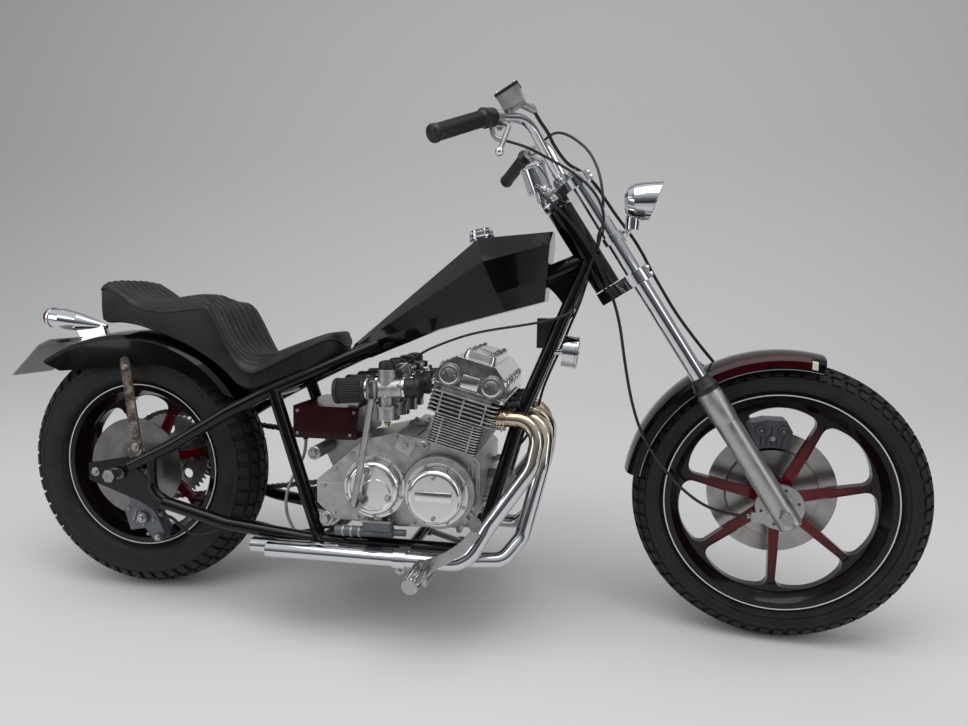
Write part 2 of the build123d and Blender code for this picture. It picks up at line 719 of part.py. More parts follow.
def channel_section(plane, half, depth, crease, ridge, wall=4):
    """A mudguard's section: a low crown, creased edges and straight sides."""
    with BuildSketch(plane) as section:
        with BuildLine():
            ThreePointArc((-ridge, crease), (0, 0), (ridge, crease))
            Polyline((ridge, crease), (half, crease * 2.2), (half, depth), (half - wall, depth))
            Polyline((half - wall, depth), (half - wall, crease * 2.2 + 2), (ridge - 3, crease + wall))
            ThreePointArc((ridge - 3, crease + wall), (0, wall), (3 - ridge, crease + wall))
            Polyline((3 - ridge, crease + wall), (wall - half, crease * 2.2 + 2), (wall - half, depth))
            Polyline((wall - half, depth), (-half, depth), (-half, crease * 2.2), (-ridge, crease))
        make_face()
    return section.sketch


with BuildPart() as rear_fender:
    with BuildLine(side(0)) as fender_path:
        CenterArc((REAR_AXLE.X, REAR_AXLE.Z), FENDER_RADIUS, FENDER_START, 90 - FENDER_START)
        CenterArc(TAIL_CENTRE, TAIL_RADIUS, 90, FENDER_TAIL)
    start = Plane(origin=fender_path.line @ 0, x_dir=(0, 1, 0), z_dir=fender_path.line % 0)
    sweep(sections=channel_section(start, 88, 96, 10, 80), path=fender_path.line)
    with BuildSketch(side(100)):
        Polygon(*FENDER_EDGE, align=None)
    extrude(amount=200, mode=Mode.INTERSECT)
finished(rear_fender.part, "rear_fender", "chassis")

# Seat. Columns: x, then heights of the middle's top, the edge's top and the underside.
SEAT = (
    (-843, 818, 806, 703),
    (-800, 780, 794, 706),
    (-755, 762, 757, 700),
    (-680, 772, 740, 678),
    (-610, 781, 749, 650),
    (-560, 745, 764, 622),
    (-536, 692, 726, 606),
    (-507, 645, 665, 582),
    (-478, 626, 612, 553),
    (-440, 628, 596, 545),
    (-373, 654, 623, 564),
    (-297, 682, 664, 602),
    (-243, 690, 682, 634),
)
SEAT_EDGE = 126
SEAT_MIDDLE = 62
with BuildPart() as seat:
    for y in (SEAT_EDGE, SEAT_MIDDLE, -SEAT_MIDDLE, -SEAT_EDGE):
        top = 1 if abs(y) == SEAT_MIDDLE else 2
        with BuildSketch(side(y)):
            Polygon(
                *[(row[0], row[top]) for row in SEAT], *[(row[0], row[3]) for row in reversed(SEAT)],
                align=None,
            )
    loft(ruled=True)
    with BuildSketch(Plane.XY.offset(500)):
        with BuildLine():
            ThreePointArc((-330, -84), (-240, 0), (-330, 84))
            Polyline((-330, 84), (-450, 118), (-850, 112), (-850, -112), (-450, -118), (-330, -84))
        make_face()
    extrude(amount=400, mode=Mode.INTERSECT)
    with BuildSketch(Plane(origin=(-770, 0, 712), z_dir=(0, 0, -1))):
        Rectangle(60, 26)
    extrude(amount=50)
    add(rear_fender.part, mode=Mode.SUBTRACT)
    with BuildSketch(side(20)):
        with Locations(TAIL_CENTRE):
            Circle(TAIL_RADIUS - 2)
    extrude(amount=40, mode=Mode.SUBTRACT)
    add(frame_upper_rails.part, mode=Mode.SUBTRACT)
    add(fuel_tank.part, mode=Mode.SUBTRACT)
finished(seat.part, "seat", "chassis")

with BuildPart() as fender_struts:
    flat_bar((-736, -146, 388), (-806, -90, 606), 26, 5)
    mirror(about=Plane.XZ)
    add(rear_fender.part, mode=Mode.SUBTRACT)
    add(frame_upper_rails.part, mode=Mode.SUBTRACT)
    add(frame_lower_rails.part, mode=Mode.SUBTRACT)
finished(fender_struts.part, "fender_struts", "chassis")

# Tail lamp: a long drop turned about its own axis, on a foot that meets the mudguard.
# Columns: distance forward of the lens, radius.
TAIL_LAMP = ((0, 0), (3, 17), (16, 26), (52, 29), (100, 24), (150, 13), (182, 6), (186, 0))
LAMP_AXIS = Plane(origin=(-1104, 0, 712), x_dir=(186, 0, -24), z_dir=(0, -1, 0))
with BuildPart() as tail_light:
    with BuildSketch(LAMP_AXIS):
        Polygon(*TAIL_LAMP, align=None)
    revolve(axis=Axis(LAMP_AXIS.origin, LAMP_AXIS.x_dir))
    with BuildSketch(side(9)):
        Polygon((-1020, 700), (-930, 694), (-920, 660), (-990, 640), align=None)
    extrude(amount=18)
    add(rear_fender.part, mode=Mode.SUBTRACT)
    with BuildSketch(side(20)):
        with Locations(TAIL_CENTRE):
            Circle(TAIL_RADIUS - 2)
    extrude(amount=40, mode=Mode.SUBTRACT)
# The plate is one folded sheet: its lower edge, its fold and its upper edge.
PLATE_FOLD = ((-1157, 557), (-1075, 639), (-1041, 654))
PLATE_HALF = 68
with BuildPart() as number_plate:
    flat_bar((-1060, 0, 643), (-985, 0, 639), 40, 3, facing=(0, 0, 1))
    with BuildSketch(side(PLATE_HALF)):
        with BuildLine():
            Polyline(*PLATE_FOLD)
            offset(amount=1.5)
        make_face()
    extrude(amount=2 * PLATE_HALF)
    add(rear_fender.part, mode=Mode.SUBTRACT)
    with BuildSketch(side(30)):
        with Locations(TAIL_CENTRE):
            Circle(TAIL_RADIUS - 2)
    extrude(amount=60, mode=Mode.SUBTRACT)
finished(tail_light.part, "tail_light", "chassis")
finished(number_plate.part, "number_plate", "chassis")

BREATHER_START = (-326, -72, 426)
with BuildPart() as oil_tank:
    with BuildSketch(side(75)):
        with BuildLine():
            Polyline((-334, 440), (-178, 440), (-168, 518), (-334, 518), close=True)
        make_face()
    extrude(amount=200)
    run_tube([(-326, -72, 450), BREATHER_START], 14)
    add(crankcase.part, mode=Mode.SUBTRACT)
    add(frame_seat_tubes.part, mode=Mode.SUBTRACT)
finished(oil_tank.part, "oil_tank", "chassis")

# Rear brake: a caliper hung from the axle on a torque arm, and a master cylinder
# under the crankcase.
REAR_CALIPER = (
    (-823, 219), (-790, 250), (-742, 222), (-726, 199), (-712, 168), (-716, 140),
    (-737, 137), (-764, 172), (-806, 164),
)
REAR_HOSE_ENDS = ((-716, -80, 206), (-220, -136, 226))
with BuildPart() as rear_brake:
    flat_bar((-128, -116, 206), (-128, -156, 226), 40, 5, facing=(0, 0.45, 0.9))
    run_tube([(-214, -158, 230), (-74, -158, 234)], 24)
    run_tube([(-74, -158, 234), (-44, -158, 235)], 16)
    with BuildSketch(Plane(origin=(-110, -158, 240), z_dir=(0, 0, 1))):
        RectangleRounded(70, 34, 8)
    extrude(amount=24)
    with BuildSketch(side(-50)) as caliper:
        Polygon(*REAR_CALIPER, align=None)
        fillet(caliper.vertices(), 5)
    extrude(amount=38)
    with BuildSketch(side(-82)):
        Polygon((-786, 344), (-812, 250), (-790, 226), (-764, 248), (-772, 300), align=None)
    extrude(amount=6)
    for x, z, radius in ((-768, 200, 16), (-724, 152, 9)):
        with BuildSketch(across(x, z, -50)):
            Circle(radius)
        extrude(amount=46)
    run_tube([(-743, -75.5, 205.25), REAR_HOSE_ENDS[0]], 12)
    run_tube([(-205, -156, 229.75), REAR_HOSE_ENDS[1]], 12)
    with BuildSketch(side(-58)):
        with Locations((REAR_AXLE.X, REAR_AXLE.Z)):
            Circle(REAR_DISC_RADIUS + 6)
    extrude(amount=14, mode=Mode.SUBTRACT)
    with BuildSketch(side(-40)):
        with Locations((REAR_AXLE.X, REAR_AXLE.Z)):
            Circle(REAR_DISC_RADIUS - 34)
    extrude(amount=36, mode=Mode.SUBTRACT)
    with BuildSketch(side(-40)):
        with Locations((REAR_AXLE.X, REAR_AXLE.Z)):
            Circle(2 * REAR_DISC_RADIUS)
            Circle(188, mode=Mode.SUBTRACT)
    extrude(amount=16, mode=Mode.SUBTRACT)
    add(rear_axle.part, mode=Mode.SUBTRACT)
    add(frame_lower_rails.part, mode=Mode.SUBTRACT)
finished(rear_brake.part, "rear_brake", "chassis")

PEG_ROUTE = [(20, -RAIL_Y, 178), (20, -150, 142), (20, -222, 142), (16, -236, 176)]
with BuildPart() as foot_pegs:
    run_tube(PEG_ROUTE, 16, [12, 14])
    run_tube([(16, -232, 188), (10, -318, 176)], 35)
    mirror(about=Plane.XZ)
    add(frame_lower_rails.part, mode=Mode.SUBTRACT)
finished(foot_pegs.part, "foot_pegs", "chassis")

# Foot pedals: the brake's curved flat arm on the right, the gear lever's on the left.
with BuildPart() as foot_pedals:
    with BuildSketch(side(-228)):
        with BuildLine():
            ThreePointArc((22, 204), (86, 238), (128, 284))
            Line((128, 284), (144, 268))
            ThreePointArc((144, 268), (106, 224), (54, 190))
            Line((54, 190), (30, 168))
            Line((30, 168), (8, 172))
            Line((8, 172), (22, 204))
        make_face()
    extrude(amount=7)
    run_tube([(132, -224, 288), (138, -264, 304)], 28)
    mirror(about=Plane.XZ)
    add(foot_pegs.part, mode=Mode.SUBTRACT)
finished(foot_pedals.part, "foot_pedals", "chassis")

with BuildPart() as horn:
    with BuildSketch(Plane(origin=(300, 0, 657), z_dir=(1, 0, -0.1))):
        Circle(38)
    extrude(amount=34)
    run_tube([(268, 0, 654), (304, 0, 655)], 14)
    run_tube([(268, -58, 654), (268, 58, 654)], 10)
    add(frame_downtubes.part, mode=Mode.SUBTRACT)
with BuildPart() as regulator:
    with BuildSketch(side(34)):
        with Locations((256, 700)):
            Rectangle(34, 70)
    extrude(amount=68)
    add(frame_downtubes.part, mode=Mode.SUBTRACT)
finished(horn.part, "horn", "chassis")
finished(regulator.part, "regulator", "chassis")

# Steered pieces.
LEG_Y = 100
LEG = 36
SLIDER = 52
SLIDER_TOP = 322
with BuildPart() as fork_tubes:
    for y in (-LEG_Y, LEG_Y):
        with BuildSketch(steering(60)):
            with Locations((FORK_OFFSET, y)):
                Circle(LEG / 2)
        extrude(amount=805)
with BuildPart() as fork_sliders:
    for y in (-LEG_Y, LEG_Y):
        with BuildSketch(steering(-28)):
            with Locations((FORK_OFFSET, y)):
                Circle(SLIDER / 2)
        extrude(amount=SLIDER_TOP + 28)
    add(fork_tubes.part, mode=Mode.SUBTRACT)
with BuildPart() as front_axle:
    with BuildSketch(across(FRONT_AXLE.X, FRONT_AXLE.Z, 130)):
        Circle(AXLE_RADIUS)
    extrude(amount=260)
    for y, length in ((142, 14), (-128, 14)):
        with BuildSketch(across(FRONT_AXLE.X, FRONT_AXLE.Z, y)):
            RegularPolygon(15, 6)
        extrude(amount=length)
    with BuildSketch(across(FRONT_AXLE.X, FRONT_AXLE.Z, 74)):
        Circle(15)
    extrude(amount=6)
# The fixed plate on the hub's right side, with the lug that drives the speedometer.
with BuildPart() as speedometer_drive:
    with BuildSketch(across(FRONT_AXLE.X, FRONT_AXLE.Z, -FRONT_HUB[0] - 2)):
        Circle(52)
        with Locations((-44, -28)):
            Rectangle(30, 24)
    extrude(amount=12)
    with BuildSketch(across(FRONT_AXLE.X, FRONT_AXLE.Z, -FRONT_HUB[0] - 2)):
        Circle(19)
    extrude(amount=26)
    add(front_axle.part, mode=Mode.SUBTRACT)
with BuildPart() as sliders_bored:
    add(fork_sliders.part)
    add(front_axle.part, mode=Mode.SUBTRACT)
    add(speedometer_drive.part, mode=Mode.SUBTRACT)
STEM_TOP = 870
YOKE_EAR = 29


def yoke_outline(rear_half, waist):
    """A yoke seen along the steering axis: two eyes on the legs and one on the stem."""
    Polygon(
        (-30, -rear_half), (FORK_OFFSET - waist, -LEG_Y - 22), (FORK_OFFSET + 22, -LEG_Y - 22),
        (FORK_OFFSET + 14, -rear_half), (FORK_OFFSET + 14, rear_half),
        (FORK_OFFSET + 22, LEG_Y + 22), (FORK_OFFSET - waist, LEG_Y + 22), (-30, rear_half),
        align=None,
    )
    with Locations((FORK_OFFSET, -LEG_Y), (FORK_OFFSET, LEG_Y)):
        Circle(YOKE_EAR)


with BuildPart() as lower_yoke:
    with BuildSketch(steering(592)):
        yoke_outline(30, 14)
    extrude(amount=30)
    with BuildSketch(steering(620)):
        Circle(14)
    extrude(amount=STEM_TOP - 620)
    add(fork_tubes.part, mode=Mode.SUBTRACT)
with BuildPart() as top_yoke:
    with BuildSketch(steering(843)):
        yoke_outline(38, 26)
    extrude(amount=22)
    add(fork_tubes.part, mode=Mode.SUBTRACT)
    add(lower_yoke.part, mode=Mode.SUBTRACT)
# The handlebar: its straight middle is held in two clamps on risers from the top yoke.
BAR = 22.2
BAR_X = 294
BAR_Z = 1048
CLAMP_Y = 44
CLAMP_WIDTH = 20
BAR_ROUTE = [(BAR_X, -54, BAR_Z), (BAR_X, -80, BAR_Z), (226, -142, 1172), (162, -238, 1158), (80, -362, 1104)]
with BuildPart() as handlebar:
    run_tube(BAR_ROUTE, BAR, [34, 60, 80])
    mirror(about=Plane.XZ)
    run_tube([(BAR_X, -54, BAR_Z), (BAR_X, 54, BAR_Z)], BAR)
    for y in (-CLAMP_Y, CLAMP_Y):
        with BuildSketch(side(y + CLAMP_WIDTH / 2)):
            with Locations((BAR_X, BAR_Z)):
                Circle(20)
        extrude(amount=CLAMP_WIDTH)
    add(top_yoke.part, mode=Mode.SUBTRACT)
with BuildPart() as grips:
    run_tube([(157, -246, 1154.6), (82, -359, 1105.3)], 34)
    mirror(about=Plane.XZ)
    add(handlebar.part, mode=Mode.SUBTRACT)
LEVER_ROUTE = [(176, -216, 1150), (206, -236, 1140), (202, -312, 1076)]
LEVER_CLAMP = [(181.2, -209.2, 1162.2), (171.6, -223.6, 1160.1)]
FRONT_HOSE_ENDS = ((243, -138, 1184), (737, 84, 508))
CLUTCH_CABLE_START = (214, 179.27, 1181.47)
THROTTLE_CABLE_START = (196, -226, 1112)
SPEEDOMETER_CABLE_START = (235, -40, 1038)
with BuildPart() as hand_controls:
    with BuildSketch(side(-160)):
        with BuildLine():
            Polyline((169, 1206), (214, 1232), (229, 1196), (188, 1176), close=True)
        make_face()
    extrude(amount=44)
    run_tube([(188, -196, 1150), (196, -180, 1196)], 20)
    run_tube([(208, -178, 1200), (240, -139.33, 1189.33)], 16)
    run_tube([(234, -142, 1200), FRONT_HOSE_ENDS[0]], 13)
    run_tube([(169, -227, 1158.6), (158.5, -243, 1155.4)], 38)
    run_tube([(165, -232, 1150), (173, -229.83, 1117.75), THROTTLE_CABLE_START], 11, [14])
    run_tube([(182, 206.2, 1159.6), CLUTCH_CABLE_START], 13)
    for route in (LEVER_ROUTE, flip(LEVER_ROUTE)):
        run_tube(route, 10, [16])
    for clamp in (LEVER_CLAMP, flip(LEVER_CLAMP)):
        run_tube(clamp, 32)
    add(handlebar.part, mode=Mode.SUBTRACT)
with BuildPart() as speedometer:
    run_tube([(238, 0, 1030), (218, 0, 1086)], 60)
    run_tube([(237, 0, 1034), (245, 0, 1010)], 30)
    run_tube([(235, -20, 1038), SPEEDOMETER_CABLE_START], 16)
    with BuildSketch(steering(865)):
        with Locations((-25, 0)):
            Rectangle(12, 22)
    extrude(amount=24)
    add(handlebar.part, mode=Mode.SUBTRACT)
    add(top_yoke.part, mode=Mode.SUBTRACT)
    add(lower_yoke.part, mode=Mode.SUBTRACT)
# Headlight: a bucket turned about its own axis, open in front and cut on a slant so
# that its rim runs on over the lens as a peak. Columns: distance forward, radius.
BUCKET = (
    (0, 0), (2, 20), (10, 34), (24, 41), (48, 44), (104, 44), (104, 41), (44, 41), (44, 0),
)
BUCKET_AXIS = Plane(origin=(432, 0, 1006), x_dir=(1, 0, 0.03), z_dir=(0, -1, 0))
with BuildPart() as headlight:
    with BuildSketch(BUCKET_AXIS):
        Polygon(*BUCKET, align=None)
    revolve(axis=Axis(BUCKET_AXIS.origin, BUCKET_AXIS.x_dir))
    with BuildSketch(side(60)):
        Polygon((486, 955), (524, 1060), (600, 1060), (600, 955), align=None)
    extrude(amount=120, mode=Mode.SUBTRACT)
    run_tube([(454, 0, 975), (452, 0, 944)], 32)
    run_tube([(452, 0, 950), (438, 0, 932)], 12)
    with BuildSketch(steering(704)):
        with Locations((FORK_OFFSET + 12, 0)):
            Rectangle(34, 2 * LEG_Y)
    extrude(amount=6)
    for y in (-LEG_Y, LEG_Y):
        with BuildSketch(steering(698)):
            with Locations((FORK_OFFSET, y)):
                Circle(LEG / 2 + 5)
        extrude(amount=18)
    add(fork_tubes.part, mode=Mode.SUBTRACT)
with BuildPart() as front_fender:
    with BuildLine(side(0)) as front_fender_path:
        CenterArc((FRONT_AXLE.X, FRONT_AXLE.Z), 350, 77, 94)
    front_start = Plane(
        origin=front_fender_path.line @ 0, x_dir=(0, 1, 0), z_dir=front_fender_path.line % 0
    )
    sweep(sections=channel_section(front_start, 62, 40, 8, 52), path=front_fender_path.line)
    for y in (-1, 1):
        run_tube([(640, y * 56, 600), (640, y * 76, 600)], 10)
    add(fork_sliders.part, mode=Mode.SUBTRACT)
with BuildPart() as front_caliper:
    with BuildSketch(side(100)):
        with BuildLine():
            Polyline(
                (716, 462), (724, 494), (758, 497), (775, 503), (823, 503), (838, 477),
                (833, 440), (816, 408), (786, 408), (758, 440), close=True,
            )
        make_face()
    extrude(amount=56)
    with BuildSketch(side(FRONT_DISC_Y + 8)):
        with Locations((FRONT_AXLE.X, FRONT_AXLE.Z)):
            Circle(FRONT_DISC_RADIUS + 6)
    extrude(amount=16, mode=Mode.SUBTRACT)
    with BuildSketch(side(FRONT_DISC_Y + 8)):
        with Locations((FRONT_AXLE.X, FRONT_AXLE.Z)):
            Circle(FRONT_DISC_RADIUS - 36)
    extrude(amount=60, mode=Mode.SUBTRACT)
    run_tube([(741, 84, 490), FRONT_HOSE_ENDS[1]], 13)
    add(fork_sliders.part, mode=Mode.SUBTRACT)
    add(fork_tubes.part, mode=Mode.SUBTRACT)
for piece, name in (
    (fork_tubes, "fork_tubes"),
    (sliders_bored, "fork_sliders"),
    (front_axle, "front_axle"),
    (speedometer_drive, "speedometer_drive"),
    (lower_yoke, "lower_yoke"),
    (top_yoke, "top_yoke"),
    (handlebar, "handlebar"),
    (grips, "grips"),
    (hand_controls, "hand_controls"),
    (speedometer, "speedometer"),
    (headlight, "headlight"),
    (front_fender, "front_fender"),
    (front_caliper, "front_caliper"),
):
    finished(piece.part, name, "steering")

# Cables and hoses, each a list of points from end to end. The first two ride on the fork.
SPEEDOMETER_CABLE = [
    SPEEDOMETER_CABLE_START, (235, -60, 1038), (252, -84, 1019), (288, -94, 989), (334, -90, 941),
    (373, -83, 884), (399, -79, 829), (422, -82, 778), (436, -82, 724), (444, -80, 672), (454, -78, 614),
    (466, -76, 556), (486, -74, 492), (514, -72, 440), (549, -70, 393), (591, -66, 350), (638, -60, 316),
    (694, -53, 298), (741, -53, 298),
]
FRONT_BRAKE_HOSE = [
    FRONT_HOSE_ENDS[0], (252, -134, 1168), (267, -112, 1149), (274, -80, 1131), (286, -42, 1112),
    (302, 2, 1094), (332, 34, 1082), (360, 60, 1058), (383, 71, 1024), (411, 74, 984), (438, 75, 950),
    (459, 75, 922), (479, 75, 890), (499, 75, 852), (528, 75, 804), (560, 75, 752), (600, 76, 699), (639, 77, 651),
    (676, 80, 610), (706, 83, 574), (729, 84, 544), FRONT_HOSE_ENDS[1],
]
THROTTLE_CABLE = [
    *[
        with_bars(point)
        for point in (
            (196.1, -225.98, 1111.98), (220, -222, 1106), (244, -200, 1099), (264, -168, 1091),
            (288, -144, 1080), (318, -135, 1064), (348, -137, 1042), (374, -137, 1016), (391, -136, 986),
            (397, -132, 952), (382, -120, 926),
        )
    ],
    (376, -74, 900), (360, -61, 858), (346, -55, 814), (334, -62, 764), (304, -77, 742), (262, -82, 730),
    (206, -82, 719), (150, -80, 710), (88, -78, 697), (28, -78, 676), (-34, -82, 648), THROTTLE_CABLE_END,
]
CLUTCH_CABLE = [
    *[
        with_bars(point)
        for point in (
            (214.08, 179.2, 1181.53), (230, 165.8, 1192.4), (254, 147, 1198), (282, 126, 1188), (312, 106, 1167),
            (340, 88, 1141), (362, 72, 1104), (377, 52, 1056), (383, 41, 1004),
        )
    ],
    (384, 43, 952), (375, 46, 904), (361, 50, 859), (348, 55, 816), (334, 62, 768), (312, 70, 716),
    (291, 80, 660), (268, 86, 608), (247, 91, 555), (236, 87, 506), (222, 80, 460), (204, 71, 420),
    (176, 63.5, 394.5), CLUTCH_CABLE_END,
]
REAR_BRAKE_HOSE = [
    REAR_HOSE_ENDS[0], (-698, -83, 206.5), (-678, -87, 197), (-658, -91, 182), (-634, -95, 170),
    (-602, -98, 168), (-560, -100, 184), (-505, -100, 208), (-446, -99, 216), (-390, -97, 201),
    (-342, -91, 192), (-300, -88, 202), (-262, -91, 213), (-238, -112, 221.5), REAR_HOSE_ENDS[1],
]
BREATHER_HOSE = [
    BREATHER_START, (-326, -72, 400), (-338, -71, 368), (-360, -70, 332), (-378, -70, 292),
    (-383, -70, 252), (-376, -70, 214), (-357, -70, 186),
]
for points, diameter, name, body in (
    (SPEEDOMETER_CABLE, 7, "speedometer_cable", "steering"),
    (FRONT_BRAKE_HOSE, 8, "front_brake_hose", "steering"),
    (THROTTLE_CABLE, 6, "throttle_cable", "chassis"),
    (CLUTCH_CABLE, 7, "clutch_cable", "chassis"),
    (REAR_BRAKE_HOSE, 8, "rear_brake_hose", "chassis"),
    (BREATHER_HOSE, 8, "breather_hose", "chassis"),
):
    finished(cord(points, diameter), name, body)

# Side stand: a leg from the lug under the left rail to a foot flat on the ground.
with BuildPart() as side_stand:
    with BuildSketch(STAND_SWING):
        Circle(13)
        with Locations((18, 0)):
            Rectangle(28, 16)
    extrude(amount=EYE)
    run_tube([STAND_PIVOT + STAND_LEG * 24, STAND_FOOT + STAND_LEG * -6], 18)
    with BuildSketch(GROUND):
        with Locations((-10, 333)):
            Circle(20)
    extrude(amount=7)
    with BuildSketch(GROUND.offset(-30)):
        Rectangle(2000, 2000)
    extrude(amount=30, mode=Mode.SUBTRACT)
    with BuildSketch(STAND_SWING):
        Circle(STAND_PIN + RUNNING_FIT)
    extrude(amount=EYE, mode=Mode.SUBTRACT)
finished(side_stand.part, "side_stand", "side_stand")

# Park every piece and write it, with the origin under the middle of the whole bike.
placed = []
for body, pieces in bodies.items():
    for piece in pieces:
        turned_piece = piece.rotate(STEER_AXIS, STEER) if body in ("steering", "front_wheel") else piece
        parked = turned_piece.moved(PARKED)
        parked.label = piece.label
        placed.append(parked)
boxes = [piece.bounding_box() for piece in placed]
CENTRE_X = (min(box.min.X for box in boxes) + max(box.max.X for box in boxes)) / 2
CENTRE_Y = (min(box.min.Y for box in boxes) + max(box.max.Y for box in boxes)) / 2
for piece in placed:
    export_step(piece.moved(Location((-CENTRE_X, -CENTRE_Y, 0))), f"parts/{piece.label}.step")
print("pitch", PITCH, "lift", -rear_low, "shift", -CENTRE_X, -CENTRE_Y)
print("stand", STAND_PIVOT, STAND_AXIS, "foot", STAND_FOOT)
print("pieces", len(placed), "lowest", min(box.min.Z for box in boxes))
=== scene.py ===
# %% [markdown]
# # A rigid-frame custom motorcycle, dressed for a photograph
#
# The bike comes in as plain CAD solids. Here they get paint, metal and rubber, and the
# pieces that only a mesh can show well: block tread, pleated leather, chain links,
# bolts, cables and hoses. We start with the tools that every later cell uses.

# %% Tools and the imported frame
import json
import math

import bpy
import bmesh
import numpy as np
from mathutils import Matrix, Vector


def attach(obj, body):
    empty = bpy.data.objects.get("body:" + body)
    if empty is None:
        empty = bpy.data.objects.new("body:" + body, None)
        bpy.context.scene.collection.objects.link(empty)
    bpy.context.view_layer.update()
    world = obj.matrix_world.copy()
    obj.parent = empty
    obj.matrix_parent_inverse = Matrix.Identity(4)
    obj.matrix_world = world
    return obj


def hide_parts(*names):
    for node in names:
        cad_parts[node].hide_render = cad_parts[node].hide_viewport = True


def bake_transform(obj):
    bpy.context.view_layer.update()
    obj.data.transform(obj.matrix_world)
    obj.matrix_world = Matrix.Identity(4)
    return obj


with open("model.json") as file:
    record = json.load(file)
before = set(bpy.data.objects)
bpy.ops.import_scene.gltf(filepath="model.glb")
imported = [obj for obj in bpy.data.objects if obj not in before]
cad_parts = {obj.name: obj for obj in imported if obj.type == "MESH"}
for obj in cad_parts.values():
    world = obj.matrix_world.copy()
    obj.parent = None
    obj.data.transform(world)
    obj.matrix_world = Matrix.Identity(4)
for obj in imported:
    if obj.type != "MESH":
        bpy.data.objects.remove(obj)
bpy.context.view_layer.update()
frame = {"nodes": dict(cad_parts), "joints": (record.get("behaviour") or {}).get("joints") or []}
nodes = frame["nodes"]
joints = {joint["name"]: joint for joint in frame["joints"]}

# %% [markdown]
# ## Drawing on a leaning bike
#
# The bike leans on its stand with the bars turned a little, so a bolt that sits square
# on the engine is square to nothing in the scene. The joints tell us how the bike
# stands: the rear axle is its sideways direction and the steering axis is its second
# one. Two matrices made from them let us place every piece in the bike's own upright
# millimetres, one for the chassis and one for what turns with the bars.

# %% The bike's own space, in millimetres
RAKE = math.radians(33)
STEER = math.radians(-4)
FORK_OFFSET = 70
REAR_AXLE = Vector((-800, 0, 328))
FRONT_AXLE = Vector((800, 0, 326))
STEER_UP = Vector((-math.sin(RAKE), 0, math.cos(RAKE)))
STEER_FORWARD = Vector((math.cos(RAKE), 0, math.sin(RAKE)))
STEER_BASE = FRONT_AXLE - STEER_FORWARD * FORK_OFFSET


def bike_space():
    """The matrix from upright millimetres to metres in the scene."""
    left = Vector(joints["rear_wheel_spin"]["axis"]).normalized()
    up = Vector(joints["steer"]["axis"]).normalized()
    ahead = left.cross(up)
    along = ahead * math.cos(RAKE) - up * math.sin(RAKE)
    above = ahead * math.sin(RAKE) + up * math.cos(RAKE)
    turn = Matrix((along, left, above)).transposed()
    axle = Vector(joints["rear_wheel_spin"]["pos_m"])
    return Matrix.Translation(axle - turn @ (REAR_AXLE * 0.001)) @ turn.to_4x4() @ Matrix.Scale(0.001, 4)


BIKE = bike_space()
STEERED = (
    BIKE
    @ Matrix.Translation(STEER_BASE)
    @ Matrix.Rotation(STEER, 4, STEER_UP)
    @ Matrix.Translation(-STEER_BASE)
)
# The fork's own space: its height runs up the steering axis from the front axle's level.
FORK = STEERED @ Matrix.Translation(STEER_BASE) @ Matrix(
    (STEER_FORWARD, Vector((0, 1, 0)), STEER_UP)
).transposed().to_4x4()
FRONT_WHEEL = STEERED @ Matrix.Translation(FRONT_AXLE)
REAR_WHEEL = BIKE @ Matrix.Translation(REAR_AXLE)
SPACES = {"chassis": BIKE, "steering": STEERED, "fork": FORK}
print("front axle at", [round(value, 4) for value in FRONT_WHEEL.translation])

# %% [markdown]
# ## The camera
#
# The photograph was taken standing, a little ahead of the bike's middle, with a wide
# lens. The camera was found by matching the wheels, axles and fork, so its place and
# turn are plain values, measured from the ground under the bike's own origin.

# %% Camera
LENS = 25.69
CAMERA_PLACE = Vector((0.3896, -1.5411, 1.0056))
CAMERA_YAW = -0.17134
CAMERA_DOWN = 0.23161
CAMERA_ROLL = -0.00855


def make_camera():
    camera = bpy.data.objects.new("camera", bpy.data.cameras.new("camera"))
    bpy.context.scene.collection.objects.link(camera)
    camera.data.lens = LENS
    camera.data.sensor_width = 36
    camera.data.clip_end = 60
    level = math.cos(CAMERA_DOWN)
    ahead = Vector((math.sin(CAMERA_YAW) * level, math.cos(CAMERA_YAW) * level, -math.sin(CAMERA_DOWN)))
    right = Vector((math.cos(CAMERA_YAW), -math.sin(CAMERA_YAW), 0))
    above = right.cross(ahead)
    c, s = math.cos(CAMERA_ROLL), math.sin(CAMERA_ROLL)
    turn = Matrix((right * c + above * s, above * c - right * s, -ahead)).transposed()
    camera.matrix_world = Matrix.Translation(CAMERA_PLACE + BIKE.translation) @ turn.to_4x4()
    bpy.context.scene.camera = camera


make_camera()

# %% [markdown]
# ## Light, floor and backdrop
#
# Chrome and gloss paint show what stands around them, so the world is dark at the
# horizon and pale above, and a broad lamp overhead with a tall one on each side draws
# clean highlights along tubes and tank. The floor and backdrop are pale by their own
# colour, and they catch the bike's shadow.

# %% Studio
WORLD_STRENGTH = 0.7
PALE = (0.76, 0.755, 0.74, 1)
# Columns: name, place, the point it looks at, width and height, power in watts.
LAMPS = (
    ("overhead", (0.2, -0.6, 3.4), (0, 0.1, 0.4), (3.6, 2.2), 50),
    ("left_wall", (-3.0, -2.2, 2.0), (0, 0, 0.5), (1.4, 2.6), 20),
    ("right_wall", (3.2, -1.8, 1.6), (0, 0, 0.5), (1.0, 2.4), 12),
)


